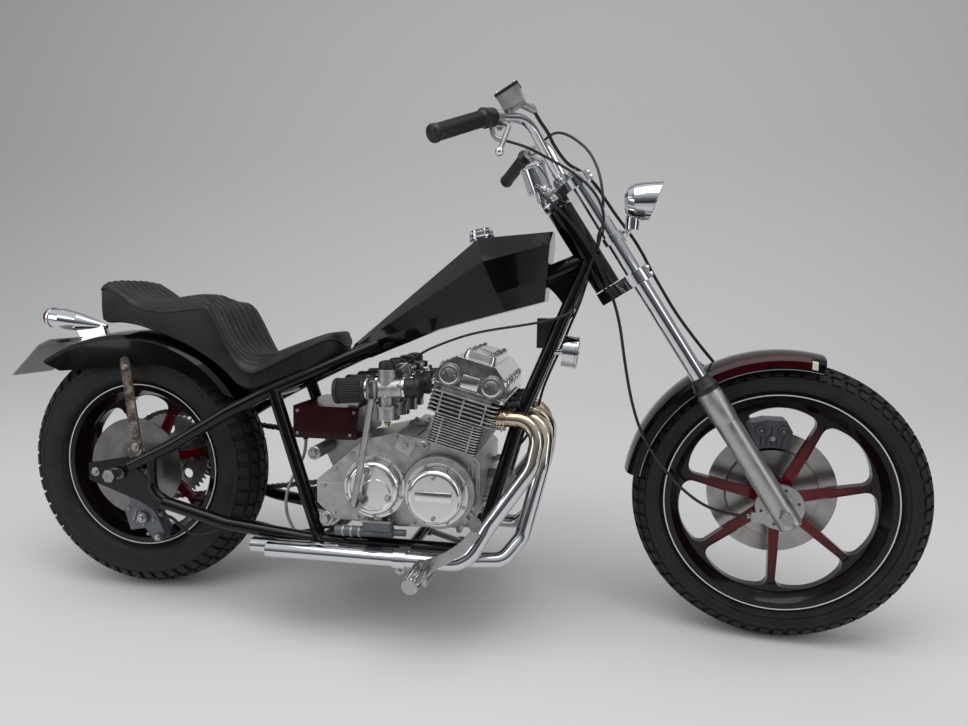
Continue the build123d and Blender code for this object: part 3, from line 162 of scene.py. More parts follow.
def make_world():
    world = bpy.data.worlds.new("studio")
    bpy.context.scene.world = world
    world.use_nodes = True
    tree = world.node_tree
    background = tree.nodes["Background"]
    looking = tree.nodes.new("ShaderNodeTexCoord")
    parts = tree.nodes.new("ShaderNodeSeparateXYZ")
    ramp = tree.nodes.new("ShaderNodeValToRGB")
    tree.links.new(looking.outputs["Generated"], parts.inputs[0])
    tree.links.new(parts.outputs["Z"], ramp.inputs["Fac"])
    ramp.color_ramp.elements[0].color = (0.05, 0.05, 0.055, 1)
    ramp.color_ramp.elements[1].color = (0.93, 0.95, 1, 1)
    ramp.color_ramp.elements[1].position = 0.75
    ramp.color_ramp.elements.new(0.3).color = (0.2, 0.205, 0.22, 1)
    tree.links.new(ramp.outputs["Color"], background.inputs["Color"])
    background.inputs["Strength"].default_value = WORLD_STRENGTH


# %% Lamps
def make_lamp(name, place, aim, size, power):
    lamp = bpy.data.lights.new(name, "AREA")
    lamp.shape = "RECTANGLE"
    lamp.size, lamp.size_y = size
    lamp.energy = power
    holder = bpy.data.objects.new(name, lamp)
    bpy.context.scene.collection.objects.link(holder)
    holder.location = place
    holder.rotation_mode = "QUATERNION"
    holder.rotation_quaternion = (Vector(aim) - Vector(place)).to_track_quat("-Z", "Y")


# %% Floor and backdrop
def make_stage():
    """A floor that curves up into a backdrop, a quarter round between two planes."""
    half, back, radius, height, steps = 9.0, 3.2, 1.4, 5.5, 16
    profile = [(-7.0, 0.0), (back - radius, 0.0)]
    for step in range(1, steps + 1):
        angle = math.pi / 2 * step / steps
        profile.append((back - radius + radius * math.sin(angle), radius - radius * math.cos(angle)))
    profile.append((back, height))
    shape = bpy.data.meshes.new("studio_floor")
    corners = [(x, y, z) for y, z in profile for x in (-half, half)]
    strips = [(2 * i, 2 * i + 1, 2 * i + 3, 2 * i + 2) for i in range(len(profile) - 1)]
    shape.from_pydata(corners, [], strips)
    shape.shade_smooth()
    floor = bpy.data.objects.new("studio_floor", shape)
    bpy.context.scene.collection.objects.link(floor)
    paper = bpy.data.materials.new("studio_paper")
    paper.use_nodes = True
    paper.node_tree.nodes["Principled BSDF"].inputs["Base Color"].default_value = PALE
    paper.node_tree.nodes["Principled BSDF"].inputs["Roughness"].default_value = 0.9
    shape.materials.append(paper)


make_world()
make_stage()
for lamp in LAMPS:
    make_lamp(*lamp)
bpy.context.scene.view_settings.view_transform = "Standard"

# %% [markdown]
# ## Finishes
#
# Every finish is a small node tree that reads the piece's own coordinates. A helper
# adds a node and wires its inputs in one call. Most finishes are then one recipe with
# other numbers: a noise that shifts the roughness as handling and polish do, a fine
# bump, a dark colour laid where two surfaces meet that is grime and painted shade both,
# and edges rounded by the light alone.

# %% Node helpers
def wire(tree, node, inputs):
    """Gives a node's inputs their values, or links where the value is a socket."""
    for key, value in inputs.items():
        if isinstance(value, bpy.types.NodeSocket):
            tree.links.new(value, node.inputs[key])
        else:
            node.inputs[key].default_value = value


def add_node(tree, kind, inputs=(), **settings):
    """A node with its settings, and its inputs given values or links."""
    made = tree.nodes.new(kind if kind.startswith("Geometry") else "ShaderNode" + kind)
    for key, value in settings.items():
        setattr(made, key, value)
    wire(tree, made, dict(inputs))
    return made


def noise(tree, place, scale, detail=4.0, **more):
    """A cloudy value that varies over so many features a metre."""
    inputs = {"Vector": place, "Scale": scale, "Detail": detail, **more}
    return add_node(tree, "TexNoise", inputs).outputs["Fac"]


def worked(tree, operation, first, second):
    return add_node(tree, "Math", {0: first, 1: second}, operation=operation).outputs[0]


def band(tree, value, low, high):
    """One where a value lies between two limits, and nothing elsewhere."""
    over, under = worked(tree, "GREATER_THAN", value, low), worked(tree, "LESS_THAN", value, high)
    return worked(tree, "MULTIPLY", over, under)


def bumped(tree, height, strength, distance, **more):
    surface = {"Height": height, "Strength": strength, "Distance": distance, **more}
    return add_node(tree, "Bump", surface).outputs["Normal"]


def new_finish(name):
    material = bpy.data.materials.new(name)
    material.use_nodes = True
    tree = material.node_tree
    place = add_node(tree, "TexCoord").outputs["Object"]
    return material, tree, tree.nodes["Principled BSDF"], place


def mixed(tree, factor, first, second):
    """A colour between two, each a socket or a plain colour."""
    return add_node(tree, "Mix", {0: factor, 6: first, 7: second}, data_type="RGBA").outputs[2]


def spread(tree, value, low, high, from_low=0.3, from_high=0.7):
    """A noise value stretched to run from low to high."""
    return add_node(
        tree, "MapRange",
        {"Value": value, "From Min": from_low, "From Max": from_high, "To Min": low, "To Max": high},
    ).outputs["Result"]


# %% The common recipe
# The dark colour laid into hollows: grime, and painted shade where surfaces meet.
DIRT_AND_SHADE = (0.03, 0.028, 0.025, 1)


def rounded_edges(tree, radius):
    """A normal that rounds sharp edges by the light alone."""
    return add_node(tree, "Bevel", {"Radius": radius}, samples=4).outputs["Normal"]


def finish(
    name, colour, metallic=0.0, rough=(0.3, 0.4), mottle=30.0, grain=900.0, bump=0.03,
    coat=0.0, dirt_and_shade=0.0, dark=0.75, edge=0.0008, specular=0.5,
):
    """The common recipe. Sizes are features a metre, and edge is a radius in metres."""
    material, tree, shader, place = new_finish(name)
    cloud, fine = noise(tree, place, mottle, 5.0), noise(tree, place, grain, 3.0)
    worn = (*[part * dark for part in colour], 1)
    shade = mixed(tree, spread(tree, cloud, 0.0, 1.0), worn, (*colour, 1))
    # Ambient occlusion darkens the colour in hollows: painted shade, and grime with it.
    if dirt_and_shade:
        hollow = add_node(tree, "AmbientOcclusion", {"Distance": 0.012}, samples=6, only_local=True)
        clean_and_lit = spread(tree, hollow.outputs["AO"], 1 - dirt_and_shade, 1.0, 0.35, 0.95)
        shade = mixed(tree, clean_and_lit, DIRT_AND_SHADE, shade)
    rounded = {"Normal": rounded_edges(tree, edge)} if edge else {}
    wire(tree, shader, {
        "Base Color": shade, "Roughness": spread(tree, cloud, *rough), "Metallic": metallic,
        "Specular IOR Level": specular, "Coat Weight": coat, "Coat Roughness": 0.04,
        "Normal": bumped(tree, fine, bump, 0.001, **rounded),
    })
    return material


# %% [markdown]
# ### Paint, metals and rubber
#
# The frame and tank are black under a clear coat. The engine is cast aluminium that has
# gone dull, with grime and painted shade dark between its fins, and polished covers.
# Pipes, bars and cap are chrome, which is smooth enough that only faint smears show.

# %% Plain finishes
gloss_black = finish(
    "gloss_black", (0.003, 0.003, 0.0035), rough=(0.1, 0.18), coat=0.35, grain=60, bump=0.012, specular=0.18
)
box_black = finish("box_black", (0.02, 0.02, 0.022), rough=(0.3, 0.45), grain=400)
dark_red = finish("dark_red", (0.022, 0.001, 0.002), rough=(0.16, 0.26), coat=0.35, bump=0.02, specular=0.25)
cast_aluminium = finish(
    "cast_aluminium", (0.6, 0.6, 0.585), 1.0, (0.32, 0.5), 45, 1500, 0.25, dirt_and_shade=0.75, dark=0.72
)
polished_aluminium = finish(
    "polished_aluminium", (0.84, 0.83, 0.81), 1.0, (0.12, 0.24), 40, 500, 0.03, dirt_and_shade=0.3, dark=0.92
)
satin_aluminium = finish(
    "satin_aluminium", (0.5, 0.5, 0.49), 1.0, (0.3, 0.45), 30, 1400, 0.12, dirt_and_shade=0.4, dark=0.85
)
caliper_grey = finish(
    "caliper_grey", (0.17, 0.18, 0.2), 0.5, (0.35, 0.5), 40, 1400, 0.15, dirt_and_shade=0.5, dark=0.8
)
worn_chrome = finish("worn_chrome", (0.46, 0.46, 0.46), 1.0, (0.1, 0.3), 40, 300, 0.05, dirt_and_shade=0.4, dark=0.6)
chrome = finish("chrome", (0.68, 0.69, 0.71), 1.0, (0.025, 0.08), 14, 60, 0.006, dark=0.95)
steel = finish("steel", (0.46, 0.455, 0.45), 1.0, (0.25, 0.4), 60, 1200, 0.15, dirt_and_shade=0.4)
dark_steel = finish("dark_steel", (0.16, 0.15, 0.14), 1.0, (0.35, 0.55), 60, 1200, 0.2, dirt_and_shade=0.5)
rubber = finish("black_rubber", (0.022, 0.022, 0.022), rough=(0.5, 0.7), grain=1200, bump=0.15)
plate_grey = finish("plate_grey", (0.3, 0.31, 0.32), rough=(0.45, 0.6), mottle=18, grain=700, bump=0.05)

# %% [markdown]
# ### Candy red on the wheels
#
# The cast wheels are black, and their spokes glow dark red where the candy paint fades
# out from the hub. The fade follows the distance from the axle, which is the length of
# the cross product of the point's offset and the axle's direction. The same distance
# draws the white pinstripe on the rim's flange.

# %% Wheel paint
WHEEL_BLACK = (0.004, 0.003, 0.003, 1)
CANDY_RED = ((0.12, (0.16, 0.004, 0.008)), (0.55, (0.12, 0.003, 0.006)), (0.85, (0.01, 0.003, 0.003)))
STRIPE_HALF = 0.0013


def axle_distance(tree, place, space):
    """How far a point is from a wheel's axle, in metres."""
    offset = add_node(tree, "VectorMath", {0: place, 1: space.translation}, operation="SUBTRACT")
    axle = space.to_3x3().col[1].normalized()
    across = add_node(tree, "VectorMath", {0: offset.outputs[0], 1: axle}, operation="CROSS_PRODUCT")
    return add_node(tree, "VectorMath", {0: across.outputs[0]}, operation="LENGTH").outputs["Value"]


def wheel_paint(name, space, red_from, red_to, stripe):
    material, tree, shader, place = new_finish(name)
    distance = axle_distance(tree, place, space)
    ramp = add_node(tree, "ValToRGB", {"Fac": spread(tree, distance, 0, 1, red_from, red_to)})
    for end in ramp.color_ramp.elements:
        end.color = WHEEL_BLACK
    for where, colour in CANDY_RED:
        ramp.color_ramp.elements.new(where).color = (*colour, 1)
    shown = spread(tree, noise(tree, place, 55.0), 0.55, 1.0, 0.35, 0.65)
    paint = mixed(tree, shown, WHEEL_BLACK, ramp.outputs["Color"])
    on_line = band(tree, distance, stripe - STRIPE_HALF, stripe + STRIPE_HALF)
    wire(tree, shader, {
        "Base Color": mixed(tree, on_line, paint, (0.75, 0.75, 0.73, 1)), "Roughness": 0.16,
        "Specular IOR Level": 0.2, "Coat Weight": 0.3, "Coat Roughness": 0.05,
        "Normal": rounded_edges(tree, 0.0015),
    })
    return material


front_wheel_paint = wheel_paint("front_wheel_paint", FRONT_WHEEL, 0.03, 0.235, 0.2515)
rear_wheel_paint = wheel_paint("rear_wheel_paint", REAR_WHEEL, 0.04, 0.2, 0.2135)

# %% [markdown]
# ### A brushed disc
#
# Pads polish a brake disc in circles, so its fine scratches follow the distance from
# the axle: a noise read at that one number gives rings.

# %% Disc steel
def disc_steel(name, space, worn, bright):
    material, tree, shader, place = new_finish(name)
    distance = axle_distance(tree, place, space)
    rings = add_node(
        tree, "TexNoise", {"W": distance, "Scale": 1600.0, "Detail": 4.0}, noise_dimensions="1D"
    ).outputs["Fac"]
    wire(tree, shader, {
        "Base Color": mixed(tree, spread(tree, noise(tree, place, 25.0), 0, 1), (*worn, 1), (*bright, 1)),
        "Roughness": spread(tree, rings, 0.22, 0.42), "Metallic": 1.0,
        "Normal": bumped(tree, rings, 0.12, 0.0006),
    })
    return material


front_disc_steel = disc_steel("front_disc_steel", FRONT_WHEEL, (0.34, 0.33, 0.32), (0.46, 0.455, 0.44))
# The rear disc is the same brushed steel, drawn darker all over.
rear_disc_steel = disc_steel("rear_disc_steel", REAR_WHEEL, (0.2, 0.19, 0.18), (0.3, 0.29, 0.28))

# %% [markdown]
# ### Hot pipes, a rusted strut and a painted panel
#
# Three pieces change along their length. The pipes go straw-coloured where they leave
# the hot ports, the mudguard's strut has rusted through its plating, and the front
# mudguard carries a dark red panel with a thin line under it and a cream tip.

# %% Finishes that change along a piece
def axis_share(tree, place, start, end):
    """How far along a line a point lies, from 0 at its start to 1 at its end."""
    run = end - start
    offset = add_node(tree, "VectorMath", {0: place, 1: start}, operation="SUBTRACT").outputs[0]
    along = {0: offset, 1: run / run.length_squared}
    return add_node(tree, "VectorMath", along, operation="DOT_PRODUCT").outputs["Value"]


def exhaust_chrome(name):
    material, tree, shader, place = new_finish(name)
    share = axis_share(tree, place, BIKE @ Vector((200, 0, 515)), BIKE @ Vector((200, 0, 350)))
    ramp = add_node(tree, "ValToRGB", {"Fac": share})
    ramp.color_ramp.elements[0].color = (0.55, 0.46, 0.34, 1)
    ramp.color_ramp.elements[1].color = (0.68, 0.69, 0.71, 1)
    ramp.color_ramp.elements.new(0.45).color = (0.66, 0.62, 0.54, 1)
    wire(tree, shader, {
        "Base Color": ramp.outputs["Color"], "Metallic": 1.0,
        "Roughness": spread(tree, noise(tree, place, 26.0, 5.0), 0.04, 0.16),
    })
    return material


def rusted_plate(name):
    material, tree, shader, place = new_finish(name)
    spots = noise(tree, place, 120.0, 8.0, Roughness=0.7)
    rust = spread(tree, worked(tree, "ADD", spots, noise(tree, place, 28.0)), 0, 1, 0.86, 1.1)
    wire(tree, shader, {
        "Base Color": mixed(tree, rust, (0.2, 0.185, 0.165, 1), (0.05, 0.026, 0.016, 1)),
        "Metallic": spread(tree, rust, 1.0, 0.0, 0, 1),
        "Roughness": spread(tree, rust, 0.4, 0.85, 0, 1),
        "Normal": bumped(tree, rust, 0.3, 0.0004),
    })
    return material


def fender_paint(name):
    material, tree, shader, place = new_finish(name)
    around = axis_share(
        tree, place, STEERED @ Vector((700, 0, 326)), STEERED @ Vector((870, 0, 326))
    )
    distance = axle_distance(tree, place, FRONT_WHEEL)
    cloud = spread(tree, noise(tree, place, 40.0), 0, 1)
    red = mixed(tree, cloud, (0.016, 0.001, 0.002, 1), (0.05, 0.002, 0.004, 1))
    paint = (0.003, 0.003, 0.0035, 1)
    # Columns: the stretch along the mudguard, the stretch up its side, and the colour.
    for (back, front), (low, high), colour in (
        ((-0.3, 0.86), (0.3165, 0.3455), red),
        ((-9.0, 9.0), (0.3123, 0.3136), (0.35, 0.34, 0.32, 1)),
        ((0.86, 0.93), (0.318, 0.336), (0.7, 0.68, 0.55, 1)),
    ):
        inside = worked(tree, "MULTIPLY", band(tree, around, back, front), band(tree, distance, low, high))
        paint = mixed(tree, inside, paint, colour)
    wire(tree, shader, {
        "Base Color": paint, "Roughness": 0.14, "Specular IOR Level": 0.15,
        "Coat Weight": 0.25, "Coat Roughness": 0.04,
    })
    return material


# %% [markdown]
# ### One row for each finish
#
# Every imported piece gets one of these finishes. The table goes by finish, so one row
# shows all the pieces that share it.

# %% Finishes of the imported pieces
FINISHES = (
    (
        gloss_black,
        "head_tube frame_downtubes frame_lower_rails frame_upper_rails frame_seat_tubes fuel_tank "
        "rear_fender side_stand",
    ),
    (front_wheel_paint, "front_rim"),
    (rear_wheel_paint, "rear_rim"),
    (
        rubber,
        "front_tyre rear_tyre air_filters grips speedometer_cable front_brake_hose throttle_cable "
        "clutch_cable rear_brake_hose breather_hose",
    ),
    (cast_aluminium, "crankcase cylinder_block cylinder_head carburettors"),
    (polished_aluminium, "cam_cover clutch_cover alternator_cover sprocket_cover ignition_cover"),
    (satin_aluminium, "speedometer_drive fork_sliders hand_controls foot_pegs"),
    (caliper_grey, "rear_brake front_caliper"),
    (worn_chrome, "kickstart_lever foot_pedals"),
    (
        chrome,
        "filler_cap tail_light horn fork_tubes handlebar speedometer headlight top_yoke lower_yoke",
    ),
    (exhaust_chrome("exhaust_chrome"), "exhaust_right exhaust_left"),
    (fender_paint("fender_paint"), "front_fender"),
    (rusted_plate("rusted_plate"), "fender_struts"),
    (steel, "rear_axle front_axle rear_sprocket"),
    (dark_steel, "chain"),
    (front_disc_steel, "front_disc"),
    (rear_disc_steel, "rear_disc"),
    (box_black, "regulator seat"),
    (dark_red, "oil_tank"),
    (plate_grey, "number_plate"),
)
for material, names in FINISHES:
    for name in names.split():
        nodes[name].data.materials.clear()
        nodes[name].data.materials.append(material)
print("finished pieces:", sum(len(names.split()) for _, names in FINISHES))

# %% [markdown]
# ## Making new pieces
#
# A new piece is a mesh drawn in one of the bike's spaces and then moved into the scene
# for good, so its object stays at the origin. Curved forms are smooth, with the edges
# above a set angle kept sharp.

# %% Piece helpers
def keep(mesh, name, material, body, space=None, sharp=35, replaced=()):
    """Makes a mesh into a finished piece that rides on a body."""
    if space is not None:
        mesh.transform(space)
    mesh.shade_smooth()
    mesh.set_sharp_from_angle(angle=math.radians(sharp))
    if material is not None:
        mesh.materials.clear()
        mesh.materials.append(material)
    piece = bpy.data.objects.new(name, mesh)
    bpy.context.scene.collection.objects.link(piece)
    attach(piece, body)
    if replaced:
        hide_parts(*replaced)
    print(name, "rides on", body, "with", len(mesh.polygons), "faces")
    return piece


def mesh_of(name, points, faces):
    mesh = bpy.data.meshes.new(name)
    mesh.from_pydata([tuple(point) for point in points], [], faces)
    shape = bmesh.new()
    shape.from_mesh(mesh)
    bmesh.ops.remove_doubles(shape, verts=shape.verts, dist=1e-6)
    bmesh.ops.recalc_face_normals(shape, faces=shape.faces)
    shape.to_mesh(mesh)
    shape.free()
    return mesh


def grid_faces(rows, columns, wrap_rows=False, wrap_columns=False):
    """Four-sided faces between rows and columns of points."""
    faces = []
    for i in range(rows if wrap_rows else rows - 1):
        for j in range(columns if wrap_columns else columns - 1):
            a, b = i * columns + j, i * columns + (j + 1) % columns
            c = ((i + 1) % rows) * columns
            faces.append((a, b, c + (j + 1) % columns, c + j))
    return faces


def lathe(name, profile, steps=64):
    """A closed or open profile of (radius, y) turned about the Y axis."""
    points = []
    for radius, y in profile:
        for step in range(steps):
            angle = 2 * math.pi * step / steps
            points.append((radius * math.cos(angle), y, radius * math.sin(angle)))
    return mesh_of(name, points, grid_faces(len(profile), steps, wrap_columns=True))


# %% [markdown]
# ## Going round in a ring
#
# Tread blocks, spoke bolts and sprocket teeth all repeat round an axle. The tread's
# blocks go through one Geometry Nodes tree: it puts copies of a shape on a line of points
# that share one place, turns each by its share of the circle, and realizes them into plain
# mesh. Bolts and teeth are placed one by one round their circles.

# %% The ring tree
def ring_tree():
    tree = bpy.data.node_groups.new("ring", "GeometryNodeTree")
    face = tree.interface
    face.new_socket("Geometry", in_out="INPUT", socket_type="NodeSocketGeometry")
    face.new_socket("Geometry", in_out="OUTPUT", socket_type="NodeSocketGeometry")
    for title, kind in (("Count", "Int"), ("Turn", "Float"), ("Finish", "Material")):
        face.new_socket(title, in_out="INPUT", socket_type="NodeSocket" + kind)
    start, end = tree.nodes.new("NodeGroupInput"), tree.nodes.new("NodeGroupOutput")
    line = add_node(tree, "GeometryNodeMeshLine", {"Count": start.outputs["Count"], "Offset": (0, 0, 0)})
    index = add_node(tree, "GeometryNodeInputIndex")
    share = worked(tree, "DIVIDE", start.outputs["Turn"], start.outputs["Count"])
    angle = worked(tree, "MULTIPLY", index.outputs[0], share)
    copies = add_node(tree, "GeometryNodeInstanceOnPoints", {
        "Points": line.outputs[0], "Instance": start.outputs["Geometry"],
        "Rotation": add_node(tree, "CombineXYZ", {"Y": angle}).outputs[0],
    })
    real = add_node(tree, "GeometryNodeRealizeInstances", {"Geometry": copies.outputs[0]})
    coated = {"Geometry": real.outputs[0], "Material": start.outputs["Finish"]}
    wire(tree, end, {"Geometry": add_node(tree, "GeometryNodeSetMaterial", coated).outputs[0]})
    return tree


RING = ring_tree()


def through_tree(mesh, tree, values):
    """Runs a mesh through a node tree and gives back a plain mesh."""
    holder = bpy.data.objects.new("working", mesh)
    bpy.context.scene.collection.objects.link(holder)
    modifier = holder.modifiers.new("tree", "NODES")
    modifier.node_group = tree
    for item in tree.interface.items_tree:
        if item.in_out == "INPUT" and item.name in values:
            modifier[item.identifier] = values[item.name]
    bpy.context.view_layer.update()
    made = bpy.data.meshes.new_from_object(holder.evaluated_get(bpy.context.evaluated_depsgraph_get()))
    bpy.data.objects.remove(holder)
    return made


def ring_of(mesh, count, material, turn=2 * math.pi):
    return through_tree(mesh, RING, {"Count": count, "Turn": turn, "Finish": material})


# %% [markdown]
# ## Tyres
#
# A tyre is a carcass turned about the axle, with blocks of tread standing on its crown.
# The carcass is one profile, taken from the same few sizes as the solid. Its sidewall
# has the fine raised rings that moulds leave. The blocks of one pitch are drawn on the
# crown's own curve, and the ring tree repeats them.

# %% Tyre rubber
def tyre_rubber(name):
    material, tree, shader, place = new_finish(name)
    cloud = noise(tree, place, 22.0, 6.0)
    tint = spread(tree, cloud, 0, 1)
    wire(tree, shader, {
        "Base Color": mixed(tree, tint, (0.009, 0.009, 0.0105, 1), (0.022, 0.022, 0.023, 1)),
        "Specular IOR Level": 0.3, "Roughness": spread(tree, cloud, 0.5, 0.72),
        "Normal": bumped(tree, noise(tree, place, 1400.0, 2.0), 0.18, 0.0006),
    })
    return material


tyre_finish = tyre_rubber("tyre_rubber")

# %% The tyres' sizes and the curve across the tread
# Columns: outer radius, half width, shoulder radius, bead radius, rim half width, flange radius.
TYRES = {
    "front": (326, 48, 298, 245, 30, 254),
    "rear": (328, 66, 290, 207, 42, 216),
}
TREAD_DEPTH = 6.0


def crown_radius(size):
    """The radius of the arc across the tread, from shoulder to shoulder."""
    outer, half, shoulder = size[:3]
    return (half**2 + (outer - shoulder) ** 2) / (2 * (outer - shoulder))


def crown_point(size, arc, depth=0.0):
    """A point on the tread's arc, so far across from the middle, as (radius, y)."""
    crown = crown_radius(size)
    angle = arc / crown
    return size[0] - crown + (crown - depth) * math.cos(angle), (crown - depth) * math.sin(angle)


def crown_reach(size):
    """The arc length from the tread's middle to its shoulder."""
    crown = crown_radius(size)
    return crown * math.asin(size[1] / crown)


# %% Carcass
def carcass_profile(size):
    _, half, shoulder, bead, rim, flange = size
    reach = crown_reach(size)
    side = [crown_point(size, reach * step / 8, TREAD_DEPTH) for step in range(9)]
    wall = [
        (shoulder - 4, half - 1.0), (shoulder - 14, half + 0.2), (shoulder - 16, half - 0.8),
        (shoulder - 18, half + 0.2), ((shoulder + flange) / 2 + 4, half + 0.4),
        ((shoulder + flange) / 2 - 6, half), (flange + 20, half - 3), (flange + 18, half - 4.2),
        (flange + 16, half - 3.8), (flange + 9, (half + rim) / 2 + 2), (flange + 6, rim + 2),
        (flange + 2, rim - 1), (bead, rim - 1),
    ]
    full = side + wall
    return [(r, -y) for r, y in reversed(full)] + full[1:]


# %% Tread blocks
def tread_block(size, along, across, bevel=1.2):
    """One block: its outline on the crown, a bevelled top and walls down to the carcass."""
    a0, a1, a2, a3 = along
    low, high = across
    points, rows = [], 5
    levels = ((TREAD_DEPTH + 0.5, 0.0), (bevel, 0.0), (0.0, bevel))
    parts = [step / (rows - 1) for step in range(rows)]
    outline = [(a0 + (a1 - a0) * part, low + (high - low) * part) for part in parts]
    outline += [(a2 + (a3 - a2) * part, high + (low - high) * part) for part in parts]
    centre = (sum(a for a, _ in outline) / len(outline), sum(b for _, b in outline) / len(outline))
    for depth, inset in levels:
        for a, b in outline:
            a_in = a + (inset if a < centre[0] else -inset)
            b_in = b + (centre[1] - b) * inset / max(abs(high - low) / 2, 1)
            r, y = crown_point(size, b_in, depth)
            angle = a_in / size[0]
            points.append((r * math.cos(angle), y, r * math.sin(angle)))
    count = len(outline)
    faces = grid_faces(len(levels), count, wrap_columns=True)
    top = 2 * count
    for step in range(rows - 1):
        faces.append((top + step, top + step + 1, top + count - 2 - step, top + count - 1 - step))
    return points, faces


def tread_pitch(size, pitch, blocks):
    points, faces = [], []
    for along, across in blocks:
        for mirror, shift in ((1, 0.0), (-1, 0.5)):
            block_along = [(value + shift) * pitch for value in along]
            block_across = [mirror * value * crown_reach(size) for value in across]
            new_points, new_faces = tread_block(size, block_along, block_across)
            start = len(points)
            points += new_points
            faces += [tuple(start + corner for corner in face) for face in new_faces]
    return mesh_of("tread_pitch", points, faces)


def joined(name, meshes):
    """Several meshes in one, each keeping its shape."""
    shape = bmesh.new()
    for mesh in meshes:
        shape.from_mesh(mesh)
    result = bpy.data.meshes.new(name)
    shape.to_mesh(result)
    shape.free()
    return result


# %% Both tyres
# Columns: where a block starts and ends along the tyre at its inner edge and its outer
# edge, in pitches, and its inner and outer edge across, from middle 0 to shoulder 1.
FRONT_BLOCKS = (
    ((0.04, 0.30, 1.14, 0.88), (0.03, 0.30)),
    ((0.10, 0.34, 1.06, 0.80), (0.37, 0.66)),
    ((0.20, 0.26, 0.86, 0.90), (0.73, 1.0)),
)
REAR_BLOCKS = (
    ((0.03, 0.26, 1.12, 0.86), (0.03, 0.27)),
    ((0.08, 0.30, 1.02, 0.78), (0.33, 0.60)),
    ((0.16, 0.24, 0.84, 0.88), (0.67, 1.02)),
)
for end, count, blocks, space in (
    ("front", 62, FRONT_BLOCKS, FRONT_WHEEL), ("rear", 54, REAR_BLOCKS, REAR_WHEEL)
):
    size = TYRES[end]
    pitch = 2 * math.pi * size[0] / count
    carcass = lathe(end + "_carcass", carcass_profile(size), 192)
    tread = ring_of(tread_pitch(size, pitch, blocks), count, tyre_finish)
    tyre = joined(end + "_tyre_tread", [carcass, tread])
    keep(tyre, end + "_tyre_tread", tyre_finish, end + "_wheel", space, replaced=[end + "_tyre"])

# %% [markdown]
# ## Small turned parts
#
# Bolts, rollers, rings and lenses are all short turned shapes. They are drawn about
# their own axis, stood on a place along a direction, and joined into one piece for each
# body and metal, so hundreds of heads cost only a few pieces.

# %% Turned parts
AHEAD, LEFT, UP = (1, 0, 0), (0, 1, 0), (0, 0, 1)
BACK, RIGHT, DOWN = (-1, 0, 0), (0, -1, 0), (0, 0, -1)


def facing(place, axis):
    """The matrix that stands the Y axis along a direction, at a place."""
    return Matrix.Translation(Vector(place)) @ Vector(axis).to_track_quat("Y", "Z").to_matrix().to_4x4()


def turned(profile, place, axis, steps=32):
    """A profile of (radius, distance along the axis), turned about that axis."""
    mesh = lathe("turned", profile, steps)
    mesh.transform(facing(place, axis))
    return mesh


def pin(radius, low, high):
    """The profile of a plain cylinder."""
    return [(0, low), (radius, low), (radius, high), (0, high)]


def boss(radius, wall, top_radius, height):
    """The profile of a cylinder with a bevelled top."""
    return [(0, 0), (radius, 0), (radius, wall), (top_radius, height), (0, height)]


# %% Bolt heads
def hex_bolt(place, axis, size=10):
    """A six-sided head on its washer. The size is the head's width, as on a spanner."""
    radius = size / math.sqrt(3)
    head = [(0, size * 0.62), (radius * 0.86, size * 0.62), (radius, size * 0.52), (radius, 0), (0, 0)]
    washer = [(0, 1.2), (size * 0.85, 1.2), (size * 0.85, -0.5), (0, -0.5)]
    return [turned(head, place, axis, 6), turned(washer, place, axis, 20)]


def socket_bolt(place, axis, size=10):
    """A round head with a socket sunk into it."""
    r = size / 2
    profile = [
        (0, size * 0.25), (r * 0.5, size * 0.25), (r * 0.56, size * 0.6), (r * 0.9, size * 0.6),
        (r, size * 0.5), (r, -0.5), (0, -0.5),
    ]
    return [turned(profile, place, axis, 18)]


def dome(place, axis, size=10, height=0.35):
    """A plain domed head or button."""
    r = size / 2
    steps = [(r * math.cos(a), size * height * math.sin(a)) for a in np.linspace(math.pi / 2, 0, 6)]
    return [turned([*steps, (r, -0.6), (0, -0.6)], place, axis, 20)]


# %% Tubes
def tube(name, points, radius, fine=(8, 3), closed=False):
    """A NURBS tube through a few points, with so many steps along and around."""
    curve = bpy.data.curves.new(name, "CURVE")
    curve.dimensions = "3D"
    spline = curve.splines.new("NURBS")
    spline.points.add(len(points) - 1)
    for corner, place in zip(spline.points, points):
        corner.co = (*place, 1)
    spline.order_u = 3
    spline.use_endpoint_u = not closed
    spline.use_cyclic_u = closed
    spline.resolution_u, curve.bevel_resolution = fine
    curve.bevel_depth = radius
    curve.use_fill_caps = True
    return bpy.data.objects.new(name, curve)


def pipe(points, radius, closed=False):
    """A smooth round tube as a plain mesh."""
    holder = tube("pipe", points, radius, (6, 2), closed)
    mesh = bpy.data.meshes.new_from_object(holder)
    bpy.data.objects.remove(holder)
    return mesh


# %% [markdown]
# ## Cables and hoses
#
# Every control cable and brake hose is one smooth curve through the points that the
# solid was swept along. Two of them ride on the fork and two on the frame. The throttle
# and clutch cables cross from one to the other, so they are plain tubes of mesh fixed
# in the scene as the bars stand now, riding on neither.

# %% Sheaths
def sleeve(name, colour, rough, coat):
    return finish(name, colour, 0.0, rough, 60, 1500, 0.06, coat, edge=0, specular=0.4)


cable_black = sleeve("cable_black", (0.014, 0.014, 0.015), (0.3, 0.42), 0.25)
hose_black = sleeve("hose_black", (0.018, 0.018, 0.018), (0.42, 0.6), 0.0)
hose_clear = sleeve("hose_clear", (0.42, 0.4, 0.34), (0.16, 0.3), 0.6)


# %% Laying a cord
def line_of(curve_object):
    """The points of a curve's own line, read with its bevel off."""
    bevel = curve_object.data.bevel_depth
    curve_object.data.bevel_depth = 0
    mesh = bpy.data.meshes.new_from_object(curve_object)
    curve_object.data.bevel_depth = bevel
    line = [corner.co.copy() for corner in mesh.vertices]
    bpy.data.meshes.remove(mesh)
    return line


